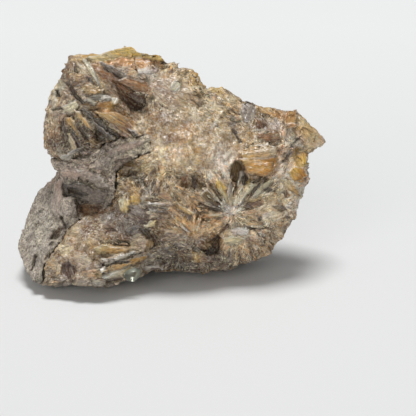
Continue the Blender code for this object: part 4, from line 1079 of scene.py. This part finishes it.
def gypsum_relief(points, normals):
    """Height in mm that the crystals add, each crystal's number from 0 to 1, facing and texture weights."""
    columns, rows, _ = locate(points)
    facing = ease((0.15 - normals @ SIGHT) / 0.4)
    owner, angle, radius = spray_field(columns, rows)
    smooth, sugar, fibre = texture_weights(columns, rows)
    salt = owner * 17.0
    spot = points / MM
    heading = headings(columns, rows)
    wide, number, edge = fibre_cells(radius, angle, salt, *WIDE_BLADES)
    thin, thin_number, _ = fibre_cells(radius, angle, salt + 3, *THIN_BLADES)
    blades = (0.95 * wide - 0.6 * ease((0.14 - edge) / 0.14)) * np.minimum(1, radius / 12) + 0.4 * thin
    shards, shard_number, shard_edge = bundles(spot, heading, *SHARDS)
    flakes, flake_number, _ = bundles(spot, heading, *FLAKES)
    needles, needle_number, _ = bundles(spot, heading, *NEEDLES)
    broken = 0.7 * shards + 0.16 * flakes - 0.4 * ease((0.1 - shard_edge) / 0.1)
    crumbs = 0.12 * needles + 0.12 * flakes + 0.4 * cloud_noise(spot / 3.0, 49)
    plates = 0.18 * cloud_noise(spot / 1.6, 41) + 0.12 * shards
    plain = np.clip(1 - smooth - sugar - fibre, 0, 1)
    on_face = fibre * blades + sugar * crumbs + smooth * plates + plain * broken
    height = facing * on_face + 0.6 * (1 - facing) * broken + 0.7 * cloud_noise(spot / 6.5, 47, 3)
    numbers = 0.5 * shard_number + 0.5 * flake_number
    numbers = np.where(fibre > 0.5, 0.6 * number + 0.4 * thin_number, numbers)
    numbers = np.where(sugar > 0.5, 0.5 * (needle_number + flake_number), numbers)
    return height, numbers, facing, (smooth, sugar, fibre)


def blotched(colour, spot, plain):
    """Browns and pales colours in clouds, less so on plain crystals."""
    for size, seed, strength in CLOUDS:
        cloud = (cloud_noise(spot / size, seed, 3) * strength * (1 - 0.5 * plain))[:, None]
        browned = 1 + np.clip(cloud * 2, 0, 1) * (BROWNING - 1)
        paled = 1 + np.clip(-cloud * 2, 0, 1) * (PALING - 1)
        colour = colour * browned * paled
    return colour


def shade(colour, numbers, height, plain):
    """Varies colours crystal by crystal: dark ones are browner, bright ones paler, with painted shade in
    hollows and painted light on raised parts.
    """
    # The height term paints shade into hollows and light onto raised crystals.
    value = 1 + (numbers - 0.5 + 0.35 * np.clip(height, -1, 1)) * (1 - 0.7 * plain)
    varied = colour * (1.06 * np.clip(value, 0.35, 1.6))[:, None]
    chance = numbers * 7.31 % 1
    pulls = {"rust": 0.5 - numbers, "white": numbers - 0.5, "honey": 0.5 - chance}
    for name, strength in CRYSTAL_HUES.items():
        share = (ease(pulls[name] / 0.4) * strength * (1 - 0.8 * plain))[:, None]
        varied += share * (varied.mean(-1, keepdims=True) * linear(name) / linear(name).mean() - varied)
    gloom = (ease((0.27 - numbers) / 0.1) * 0.5 * (1 - plain))[:, None]
    varied = np.maximum(varied * (1 - 0.6 * gloom), 0)
    return varied * np.minimum(1, BRIGHTEST / np.maximum(varied.max(-1), 1e-6))[:, None]


def side_colours(points):
    """Colours of the gypsum away from the broken face."""
    cloudy = cloud_noise(points / MM / 7, 53)[:, None]
    colour = linear("tan") * 0.9 + np.clip(cloudy * 1.6, 0, 1) * (linear("honey") - linear("tan"))
    return colour + np.clip(-cloudy * 1.6, 0, 1) * (linear("slate") - colour)


def make_gypsum(obj, calm_tree):
    """The gypsum crust with the relief of its crystals, its pits, and the forms that stand out one by one."""
    points, normals = mesh_arrays(obj.data)
    columns, rows, depths = locate(points)
    height, numbers, facing, (smooth, sugar, fibre) = gypsum_relief(points, normals)
    pits, pit_share = pit_depths(columns, rows, PITS)
    colour = side_colours(points)
    colour += facing[:, None] * (tinted(columns, rows, "tan", TINTS) - colour)
    # Painted light: the face gets brighter towards the right.
    colour *= (1 + facing * (SPRAY_GAIN * fibre + RIGHTWARD_PAINTED_LIGHT * (columns - RIGHTWARD_START)))[:, None]
    colour = blotched(colour, points / MM, smooth * facing)
    colour = shade(colour, numbers, height, (smooth + 0.6 * sugar) * facing)
    # Painted shade at the bottom of the pits.
    colour *= (1 - PIT_SHADE * pit_share * facing)[:, None]
    calm = 1 - facing * (0.75 * smooth + 0.7 * sugar)
    state = {
        "depths": depths,
        "moved": points + normals * ((height - pits * facing) * MM)[:, None],
        "colour": colour,
        "heading": headings(columns, rows),
        "disorder": 1.5 - 1.3 * np.maximum(fibre, smooth) * facing + 0.8 * sugar,
        "lively": calm * (0.9 + 0.9 * cloud_noise(points / MM / 3, 55)),
        "sugar": 0.25 + 0.6 * sugar * facing,
    }
    step = (patch(columns, rows, *CREST_STEP) > 0.5) & (depths < CREST_STEP_DEPTH)
    facing = np.where(step, 1, facing)
    return finish_piece(obj, GYPSUM_FORMS, calm_tree, state, columns, rows, facing, CRUST_BRIGHTEST)


# ---------------------------------------------------------------- the mudstone

# The shards of the shaded ridge, given like those of the gypsum.
RIDGE_SHARDS = 7.0, (7.0, 1.3, 3.0), 0.9, 75, 1.3


def stone_relief(spot, columns, rows, facing, rough, ridge):
    """Height in mm of the mudstone's grains, shards and cracks, and how bright each of them is, with painted
    shade in hollows and cracks and painted light on raised parts.
    """
    ledges, number, _ = facets(spot * np.array((0.16, 0.16, 0.3)), 61, 0.9)
    crumbs, crumb_number, crumb_edge = facets(spot / 2.4, 67, 0.9)
    flakes, flake_number, _ = facets(spot / 1.1, 69, 1.0)
    shards, shard_number, shard_edge = bundles(spot, RIDGE_RUN, *RIDGE_SHARDS)
    cracks, crack_share = pit_depths(columns, rows, CRACKS)
    height = rough * (0.7 * ledges + 0.6 * crumbs + 0.3 * flakes - 0.3 * ease((0.1 - crumb_edge) / 0.1))
    height += ridge * (0.7 * shards - 0.3 * ease((0.1 - shard_edge) / 0.1))
    height += 0.2 * cloud_noise(spot / 0.8, 71, 3) + 0.35 * cloud_noise(spot / 5, 73)
    height -= cracks * facing
    value = 1 + 0.16 * (number - 0.5) + (0.4 * (crumb_number - 0.5) + 0.3 * (flake_number - 0.5)) * rough
    # The height term paints shade into hollows and light onto raised grains; the cracks get painted shade
    # below.
    value += 0.35 * np.clip(height, -1, 1) + 0.7 * ridge * (shard_number - 0.5)
    return height, value * (1 - CRACK_SHADE * crack_share * facing)


def stone_colours(spot, columns, rows, facing):
    """Colours of the mudstone: blotches, spots and pores, and the patches painted over them in turn."""
    blotch = ease(cloud_noise(spot / 9, 79)[:, None] * 2.2 + 0.45)
    colour = linear("mauve") + blotch * (linear("lilac") - linear("mauve"))
    spots = ease((cloud_noise(spot / 2.6, 83)[:, None] - 0.2) * 5)
    colour += 0.5 * spots * (linear("grey") - colour)
    pores = ease((cloud_noise(spot / 1.3, 87)[:, None] - 0.45) * 6)
    colour += 0.6 * pores * (linear("dark") - colour)
    for *place, name, strength in STONE_TINTS:
        share = patch(columns, rows, *place) * strength * facing
        colour += share[:, None] * (linear(name) - colour)
    return colour


def make_mudstone():
    """The mudstone with fine grains, cracks, blotches and its own forms."""
    obj = dense_copy("mudstone", "mudstone_matrix", MUDSTONE_VOXEL)
    points, normals = mesh_arrays(obj.data)
    columns, rows, depths = locate(points)
    facing = ease((0.1 - normals @ SIGHT) / 0.3)
    calm = facing * patch(columns, rows, *WORN_WEDGE)
    ridge = facing * patch(columns, rows, *SHADED_RIDGE)
    height, value = stone_relief(points / MM, columns, rows, facing, 1 - 0.7 * calm, ridge)
    state = {
        "depths": depths,
        "moved": points + normals * (height * MM)[:, None],
        "colour": stone_colours(points / MM, columns, rows, facing) * value[:, None],
        "heading": np.tile(RIDGE_RUN, (len(points), 1)),
        "disorder": 3.0 - 2.4 * ridge,
        "lively": 1 - 0.3 * calm,
        "sugar": np.full(len(points), 0.3),
    }
    return finish_piece(obj, STONE_FORMS, tree_of(obj), state, columns, rows, facing, STONE_BRIGHTEST)


# ---------------------------------------------------------------- loose crystals

# The clear flake under the lower edge: its outline, anticlockwise, how far it stands proud of the face and
# how thick it is, in mm.
CLEAR_FLAKE = [(123, 276), (127, 281), (134, 282), (140, 276), (141, 269), (134, 268), (127, 270)]
FLAKE_LIFT = 0.8
FLAKE_THICKNESS = 0.9

# Chips have a rim of five corners, a crown before it and a keel behind it.
CHIP_RIM = 5
# The part of the grid that chips are scattered over: its first column and row, and its last ones.
FACE_BOX = (40, 42, 328, 292)
# Chips on the face: how many are tried, the texture that they lie on, the ranges of their lengths and widths
# in mm, how much they tilt, the range of their lift in mm, and their colours: how much these vary, and the
# shares of bright and of dark ones.
FACE_CHIPS = [
    (50, "sugar", (0.5, 1.5), (0.4, 0.9), 0.3, (-0.2, 0.05), (0.22, 0.12, 0.1)),
    (70, "broken", (0.8, 2.4), (0.5, 1.2), 0.3, (-0.2, 0.05), (0.25, 0.1, 0.14)),
    (140, "fibre", (1.5, 4.5), (0.3, 0.8), 0.15, (-0.15, 0.1), (0.28, 0.14, 0.16)),
]
# Chips on the sides: how many, and the same from their lengths on.
SIDE_CHIPS = (120, (0.8, 2.6), (0.5, 1.3), 0.3, (-0.1, 0.2), (0.2, 0.08, 0.1))
CHIP_SEED = 7


def ring_faces(count):
    """Triangles between a ring of corners, the crown that comes after them and the keel that comes last."""
    crown = [(k, (k + 1) % count, count) for k in range(count)]
    return crown + [((k + 1) % count, k, count + 1) for k in range(count)]


def mesh_object(name, points, faces, colours, heading, disorder, lively):
    """One mesh object from points, triangles, colours and the run of its blades."""
    points = kept_in_box(points)
    mesh = bpy.data.meshes.new(name)
    mesh.vertices.add(len(points))
    mesh.vertices.foreach_set("co", points.ravel())
    mesh.loops.add(len(faces) * 3)
    mesh.loops.foreach_set("vertex_index", faces.ravel())
    mesh.polygons.add(len(faces))
    mesh.polygons.foreach_set("loop_start", np.arange(len(faces)) * 3)
    mesh.update(calc_edges=True)
    mesh.validate()
    looks = {"disorder": disorder, "lively": lively, "sugar": 0.0}
    looks = {key: np.full(len(points), value) for key, value in looks.items()}
    set_looks(mesh, {"colour": np.clip(colours, 0.004, 0.95), "heading": heading, **looks})
    obj = bpy.data.objects.new(name, mesh)
    bpy.context.scene.collection.objects.link(obj)
    return obj


def clear_flake(tree):
    """The clear flake: a low crown and a keel on its outline."""
    columns, rows = np.array(CLEAR_FLAKE, float).T
    middle = columns.mean(), rows.mean()
    spots, _, _ = surface_points(tree, columns[:1], rows[:1])
    depth = locate(spots)[2][0] - FLAKE_LIFT
    rim = places(columns, rows, np.full(len(columns), depth))
    caps = places(*(np.full(2, value) for value in middle), depth + np.array((-0.5, 0.5)) * FLAKE_THICKNESS)
    points = np.concatenate([rim, caps])
    colours = np.tile(linear("cream"), (len(points), 1))
    faces = np.array(ring_faces(len(rim)))
    return mesh_object("clear_flake", points, faces, colours, np.tile(FACE_UP, (len(points), 1)), 0.0, 0.0)


def chips(centres, outward, heading, lengths, widths, tilt, rng):
    """The corners of flat chips lying on a surface: their rims, then a low crown, then a keel below."""
    count = len(centres)
    along = unit(heading - (heading * outward).sum(1)[:, None] * outward)
    lean = rng.normal(0, tilt, (count, 2))
    side = np.cross(outward, along)
    top = unit(outward + lean[:, :1] * along + lean[:, 1:] * side)
    along = unit(along - (along * top).sum(1)[:, None] * top)
    side = np.cross(top, along)
    corners = []
    start = rng.uniform(0, math.tau, count)
    for k in range(CHIP_RIM):
        turn = start + math.tau * k / CHIP_RIM + rng.normal(0, 0.22, count)
        reach = rng.uniform(0.75, 1.1, count)
        corners.append(
            centres + along * (np.cos(turn) * reach * lengths / 2)[:, None]
            + side * (np.sin(turn) * reach * widths / 2)[:, None]
        )
    corners.append(centres + top * (widths * rng.uniform(0.02, 0.16, count))[:, None])
    corners.append(centres - top * (widths * 0.7)[:, None])
    return np.stack(corners, 1)


def chip_colours(rng, colour, variety, flashes, glooms):
    """Colours of the chips' corners: varied from chip to chip, with painted highlights along parts of the rim
    and painted shade below.
    """
    count = len(colour)
    varied = colour * np.exp(rng.normal(0, variety, count))[:, None]
    lot = rng.random(count)[:, None]
    varied = np.where(lot < flashes, varied * 0.3 + linear("cream") * 0.8, varied)
    varied = np.where(lot > 1 - glooms, varied * 0.4, varied)
    corners = np.repeat(varied[:, None], CHIP_RIM + 2, axis=1)
    # Painted highlights on some rim corners; the other rim corners are a little darker.
    pale = rng.random((count, CHIP_RIM, 1)) < 0.3
    rim = corners[:, :CHIP_RIM]
    corners[:, :CHIP_RIM] = np.where(pale, rim * 0.5 + linear("cream") * 0.5, rim * 0.85)
    # Painted shade on the keel under the chip.
    corners[:, -1] *= 0.3
    return corners


def face_chips(trees, rng, count, kind, lengths, widths, tilt, lifts, colours):
    """Chips on the broken face where its texture is of one kind: their corners and colours."""
    tree, calm_tree, gypsum_faces = trees
    columns, rows = (rng.uniform(FACE_BOX[k], FACE_BOX[k + 2], count) for k in range(2))
    smooth, sugar, fibre = texture_weights(columns, rows)
    share = {"fibre": fibre, "sugar": sugar, "broken": np.clip(1 - smooth - sugar - fibre, 0, 1)}[kind]
    _, pit_share = pit_depths(columns, rows, PITS)
    keep = rng.random(count) < share * (1 - 0.85 * pit_share)
    columns, rows = columns[keep], rows[keep]
    spots, _, met = surface_points(tree, columns, rows, gypsum_faces)
    _, outward, calm = surface_points(calm_tree, columns, rows)
    keep = met & calm
    spots, outward, columns, rows = spots[keep], outward[keep], columns[keep], rows[keep]
    _, angle, _ = spray_field(columns, rows)
    if kind != "fibre":
        angle = rng.uniform(0, math.tau, len(angle))
    angle = angle + rng.normal(0, 0.12, len(angle))
    total = len(spots)
    centres = spots + outward * (rng.uniform(*lifts, total) * MM)[:, None]
    length, width = rng.uniform(*lengths, total) * MM, rng.uniform(*widths, total) * MM
    corners = chips(centres, outward, along_face(angle), length, width, tilt, rng)
    return corners, chip_colours(rng, tinted(columns, rows, "tan", TINTS), *colours)


def side_chips(gypsum, normals, rng, count, lengths, widths, tilt, lifts, colours):
    """Chips on the gypsum's top and sides, away from the broken face: their corners and colours."""
    points, _ = mesh_arrays(gypsum.data)
    away = np.flatnonzero((normals @ SIGHT > -0.4) & (normals @ SIGHT < 0.7) & (points[:, 2] > 0.002))
    chosen = rng.choice(away, count, replace=False)
    spots, outward = points[chosen], normals[chosen]
    length, width = rng.uniform(*lengths, count) * MM, rng.uniform(*widths, count) * MM
    centres = spots + outward * (rng.uniform(*lifts, count) * MM)[:, None]
    corners = chips(centres, outward, rng.normal(0, 1, (count, 3)), length, width, tilt, rng)
    return corners, chip_colours(rng, side_colours(spots), *colours)


def chips_object(name, groups):
    """One joined mesh of many chips."""
    corners, colours = (np.concatenate(parts) for parts in zip(*groups))
    starts = np.arange(len(corners)) * corners.shape[1]
    faces = (starts[:, None, None] + np.array(ring_faces(CHIP_RIM))[None]).reshape(-1, 3)
    points = corners.reshape(-1, 3)
    columns, rows, _ = locate(points)
    return mesh_object(name, points, faces, colours.reshape(-1, 3), headings(columns, rows), 1.0, 0.5)


# ---------------------------------------------------------------- materials

# Layers of blades, coarse to fine: size of a bundle and of a blade in mm, contrast, tilt, strength of the
# painted highlights and shade along blade edges.
CRUST_LAYERS = [(5.0, (5.0, 0.9, 3.0), 0.32, 0.55, 0.8), (2.4, (2.2, 0.36, 1.5), 0.64, 0.75, 1.4)]
STONE_LAYERS = [(3.0, (2.0, 0.8, 1.2), 0.36, 0.5, 0.8), (1.2, (0.8, 0.36, 0.5), 0.6, 0.6, 1.2)]
CRUST_ROUGHNESS = 0.16, 0.46
STONE_ROUGHNESS = 0.7, 0.95
GYPSUM_IOR = 1.52
CRUST_SETTINGS = {
    "IOR": GYPSUM_IOR,
    "Subsurface Weight": 0.3,
    "Subsurface Scale": 0.0004,
    "Subsurface Radius": (1.0, 0.75, 0.5),
}
CLEAR_SETTINGS = {
    "Base Color": (0.66, 0.68, 0.56, 1), "Transmission Weight": 1.0, "IOR": GYPSUM_IOR, "Roughness": 0.3,
}
# Cloudy grains with thin lines between them: size in mm, contrast, colour of the lines; the white lines are
# painted highlights. Their least share.
SUGAR_LAYERS = [(1.6, 0.28, "white"), (0.7, 0.4, "white"), (2.6, 0.24, "brown")]
SUGAR_EVERYWHERE = 0.04
# What centres a random colour on nothing.
HALF = (0.5, 0.5, 0.5)


def new_material(name, settings):
    """A material with settings on its shader, its node tree and its shader."""
    made = bpy.data.materials.new(name)
    made.use_nodes = True
    shader = made.node_tree.nodes["Principled BSDF"]
    for socket, value in settings.items():
        shader.inputs[socket].default_value = value
    return made, made.node_tree, shader


def added(tree, kind, sources, **settings):
    """A new node: its settings, and what goes into its sockets, which is another socket or a constant."""
    node = tree.nodes.new("ShaderNode" + kind)
    for name, value in settings.items():
        setattr(node, name, value)
    for socket, source in sources.items():
        if isinstance(source, bpy.types.NodeSocket):
            tree.links.new(source, node.inputs[socket])
        else:
            node.inputs[socket].default_value = source
    return node


def stored(tree, name, output="Fac"):
    """A value stored on the mesh."""
    return added(tree, "Attribute", {}, attribute_name=name).outputs[output]


def noise_node(tree, place, scale, detail):
    """A noise texture on these coordinates."""
    return added(tree, "TexNoise", {"Vector": place, "Scale": scale, "Detail": detail})


def cell_node(tree, place, scale, feature="F1"):
    """Scattered cells on these coordinates."""
    return added(tree, "TexVoronoi", {"Vector": place, "Scale": scale}, feature=feature)


def spread(tree, source, from_low, from_high, low, high):
    """A value from one range spread over another, and clipped to it."""
    ranges = {"From Min": from_low, "From Max": from_high, "To Min": low, "To Max": high}
    return added(tree, "MapRange", {"Value": source, **ranges}).outputs["Result"]


def number_math(tree, operation, *values):
    """An operation on numbers."""
    return added(tree, "Math", dict(enumerate(values)), operation=operation).outputs[0]


def product(tree, first, second):
    """Two values multiplied."""
    return number_math(tree, "MULTIPLY", first, second)


def vector_math(tree, operation, *vectors):
    """An operation on vectors or colours."""
    node = added(tree, "VectorMath", dict(enumerate(vectors)), operation=operation)
    return node.outputs["Value" if operation == "DOT_PRODUCT" else "Vector"]


def multiplied(tree, colour, value):
    """A colour or vector times a value."""
    return added(tree, "VectorMath", {0: colour, "Scale": value}, operation="SCALE").outputs[0]


def blended(tree, share, colour, other):
    """A colour blended towards another, which may be one of the palette, by a share."""
    if isinstance(other, str):
        other = (*linear(other), 1)
    return added(tree, "Mix", {"Factor": share, "A": colour, "B": other}, data_type="RGBA").outputs["Result"]


def veins(tree, place, scale, strength):
    """Thin lines where a noise crosses its middle value, from 0 to the given strength."""
    centred = number_math(tree, "SUBTRACT", noise_node(tree, place, scale, 2).outputs["Fac"], 0.5)
    return spread(tree, number_math(tree, "ABSOLUTE", centred), 0.0, 0.035, strength, 0.0)


def blade_cells(tree, place, heading, disorder, bundle, blade):
    """Blades in bundles turned from the heading, sizes in mm: their random colours and distances to edges."""
    cells = cell_node(tree, place, 1 / bundle)
    local = vector_math(tree, "SUBTRACT", place, cells.outputs["Position"])
    turn = multiplied(tree, vector_math(tree, "SUBTRACT", cells.outputs["Color"], HALF), disorder)
    along = vector_math(tree, "NORMALIZE", vector_math(tree, "ADD", heading, turn))
    side = vector_math(tree, "NORMALIZE", vector_math(tree, "CROSS_PRODUCT", along, tuple(SIGHT)))
    inward = vector_math(tree, "CROSS_PRODUCT", along, side)
    axes = along, side, inward
    parts = {number: vector_math(tree, "DOT_PRODUCT", local, axis) for number, axis in enumerate(axes)}
    sized = vector_math(tree, "DIVIDE", added(tree, "CombineXYZ", parts).outputs[0], blade)
    shifted = vector_math(tree, "MULTIPLY_ADD", cells.outputs["Color"], (40, 40, 40), sized)
    edge = cell_node(tree, shifted, 1, "DISTANCE_TO_EDGE").outputs["Distance"]
    return cell_node(tree, shifted, 1).outputs["Color"], edge


def blade_layer(tree, place, colour, normal, layer):
    """Breaks a colour and a normal into blades, with painted highlights along some blade edges and painted
    shade along others. Also gives a number for each blade.
    """
    bundle, blade, contrast, tilt, edges = layer
    heading = stored(tree, "heading", "Vector")
    disorder = stored(tree, "disorder")
    lively = stored(tree, "lively")
    lot, edge = blade_cells(tree, place, heading, disorder, bundle, blade)
    red, green, blue = added(tree, "SeparateColor", {0: lot}).outputs
    varied = multiplied(tree, colour, spread(tree, red, 0, 1, 1 - contrast, 1 + contrast))
    colour = blended(tree, lively, colour, varied)
    # Painted highlights, cream, along the edges of some blades and painted shade, dark, along those of
    # others.
    rim = product(tree, spread(tree, edge, 0.02, 0.1, edges, 0), lively)
    pale = product(tree, rim, spread(tree, green, 0.55, 0.75, 0, 1))
    gap = product(tree, rim, spread(tree, green, 0.25, 0.45, 1, 0))
    colour = blended(tree, gap, blended(tree, pale, colour, "cream"), "dark")
    lean = vector_math(tree, "MULTIPLY_ADD", lot, (tilt,) * 3, (-tilt / 2,) * 3)
    return colour, vector_math(tree, "ADD", normal, multiplied(tree, lean, lively)), blue


def sugar_layer(tree, place, sugar, colour, normal, layer):
    """Adds cloudy grains to a colour and a normal, with thin lines between them, which are painted highlights
    where they are white.
    """
    size, strength, line_colour = layer
    grain = noise_node(tree, place, 1 / size, 3)
    value = spread(tree, grain.outputs["Fac"], 0.3, 0.7, 1 - strength, 1 + strength)
    colour = blended(tree, sugar, colour, multiplied(tree, colour, value))
    lean = vector_math(tree, "SUBTRACT", grain.outputs["Color"], HALF)
    normal = vector_math(tree, "ADD", normal, multiplied(tree, lean, product(tree, sugar, sugar)))
    lines = product(tree, veins(tree, place, 0.7 / size, 0.5), sugar)
    return blended(tree, lines, colour, line_colour), normal


def crystal_material(name, layers, roughness, settings):
    """The mesh's own colours, broken into blades and sugary grains. Blades differ in roughness."""
    made, tree, shader = new_material(name, settings)
    place = added(tree, "TexCoord", {}).outputs["Object"]
    place = vector_math(tree, "MULTIPLY", place, (1 / MM,) * 3)
    colour = stored(tree, "tint", "Color")
    normal = added(tree, "NewGeometry", {}).outputs["Normal"]
    for layer in layers:
        colour, normal, number = blade_layer(tree, place, colour, normal, layer)
    tree.links.new(spread(tree, number, 0, 1, *roughness), shader.inputs["Roughness"])
    sugar = spread(tree, stored(tree, "sugar"), 0, 1, SUGAR_EVERYWHERE, 1)
    for layer in SUGAR_LAYERS:
        colour, normal = sugar_layer(tree, place, sugar, colour, normal, layer)
    tree.links.new(colour, shader.inputs["Base Color"])
    tree.links.new(vector_math(tree, "NORMALIZE", normal), shader.inputs["Normal"])
    return made


# ---------------------------------------------------------------- stage

# The floor: its colour near the viewer and far away, darker near and paler far away as painted light, the two
# places along y, its half width, all in metres.
FLOOR_COLOURS = (0.765, 0.772, 0.772, 1), (0.85, 0.862, 0.862, 1)
FLOOR_SPAN = -0.12, 0.4
FLOOR_HALF = 4.0
FLOOR_SETTINGS = {"Roughness": 0.6}
WORLD_STRENGTH = 0.22
# Lights, as soft suns: name, where it shines from, apparent width in degrees, strength.
LIGHTS = [
    ("overhead", (-0.03, 0.16, 1.0), 24, 2.35),
    ("front", (-0.35, -1.0, 0.28), 50, 1.25),
]


def make_camera():
    """The camera at the drawing grid's eye, looking along the line of sight."""
    data = bpy.data.cameras.new("camera")
    data.sensor_width = SENSOR_MM
    data.lens = SENSOR_MM * SIGHT_DISTANCE / FRAME_WIDTH
    camera = bpy.data.objects.new("camera", data)
    camera.location = EYE
    camera.rotation_euler = (math.pi / 2 - FACE_TILT, 0, 0)
    bpy.context.scene.collection.objects.link(camera)
    bpy.context.scene.camera = camera


def make_floor():
    """A pale floor that fills the view, with painted light: darker near the viewer and paler far away."""
    mesh = bpy.data.meshes.new("floor")
    corners = [(x * FLOOR_HALF, y * FLOOR_HALF, 0) for x, y in ((-1, -1), (1, -1), (1, 1), (-1, 1))]
    mesh.from_pydata(corners, [], [(0, 1, 2, 3)])
    floor = bpy.data.objects.new("floor", mesh)
    bpy.context.scene.collection.objects.link(floor)
    made, tree, shader = new_material("pale_floor", FLOOR_SETTINGS)
    place = added(tree, "TexCoord", {}).outputs["Object"]
    away = added(tree, "SeparateXYZ", {0: place}).outputs["Y"]
    colour = blended(tree, spread(tree, away, *FLOOR_SPAN, 0, 1), *FLOOR_COLOURS)
    tree.links.new(colour, shader.inputs["Base Color"])
    mesh.materials.append(made)


def make_lights():
    """A white surround, a strong light from above and a little behind, and a softer one from in front."""
    world = bpy.data.worlds.new("studio")
    world.use_nodes = True
    background = world.node_tree.nodes["Background"]
    background.inputs["Color"].default_value = (1, 1, 1, 1)
    background.inputs["Strength"].default_value = WORLD_STRENGTH
    bpy.context.scene.world = world
    for name, source, width, strength in LIGHTS:
        data = bpy.data.lights.new(name, "SUN")
        data.angle = math.radians(width)
        data.energy = strength
        light = bpy.data.objects.new(name, data)
        light.rotation_euler = Vector(source).to_track_quat("Z", "Y").to_euler()
        bpy.context.scene.collection.objects.link(light)


def dress(piece, material, slot, *replaced):
    """Gives a piece its material and body, and hides the CAD nodes that it stands for. Its slot is not used.
    """
    piece.data.materials.clear()
    piece.data.materials.append(material)
    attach(piece, "root")
    if replaced:
        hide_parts(*replaced)


def main():
    """Builds the looks around the loaded frame."""
    bpy.context.scene.view_settings.view_transform = "Standard"
    make_camera()
    make_lights()
    make_floor()
    rng = np.random.default_rng(CHIP_SEED)
    raw = dense_copy("gypsum", "gypsum_crust", GYPSUM_VOXEL)
    calm_tree = tree_of(raw)
    _, calm_normals = mesh_arrays(raw.data)
    gypsum = make_gypsum(raw, calm_tree)
    mudstone = make_mudstone()
    trees = tree_of(gypsum, mudstone), calm_tree, len(gypsum.data.polygons)
    face = chips_object("face_chips", [face_chips(trees, rng, *kind) for kind in FACE_CHIPS])
    sides = chips_object("side_chips", [side_chips(gypsum, calm_normals, rng, *SIDE_CHIPS)])
    crust = crystal_material("honey_gypsum", CRUST_LAYERS, CRUST_ROUGHNESS, CRUST_SETTINGS)
    stone = crystal_material("grey_mudstone", STONE_LAYERS, STONE_ROUGHNESS, {})
    clear, _, _ = new_material("clear_gypsum", CLEAR_SETTINGS)
    dress(gypsum, crust, "gypsum", "gypsum")
    dress(mudstone, stone, "mudstone", "mudstone")
    for piece in (face, sides):
        dress(piece, crust, "gypsum")
    dress(clear_flake(trees[0]), clear, "gypsum")


main()
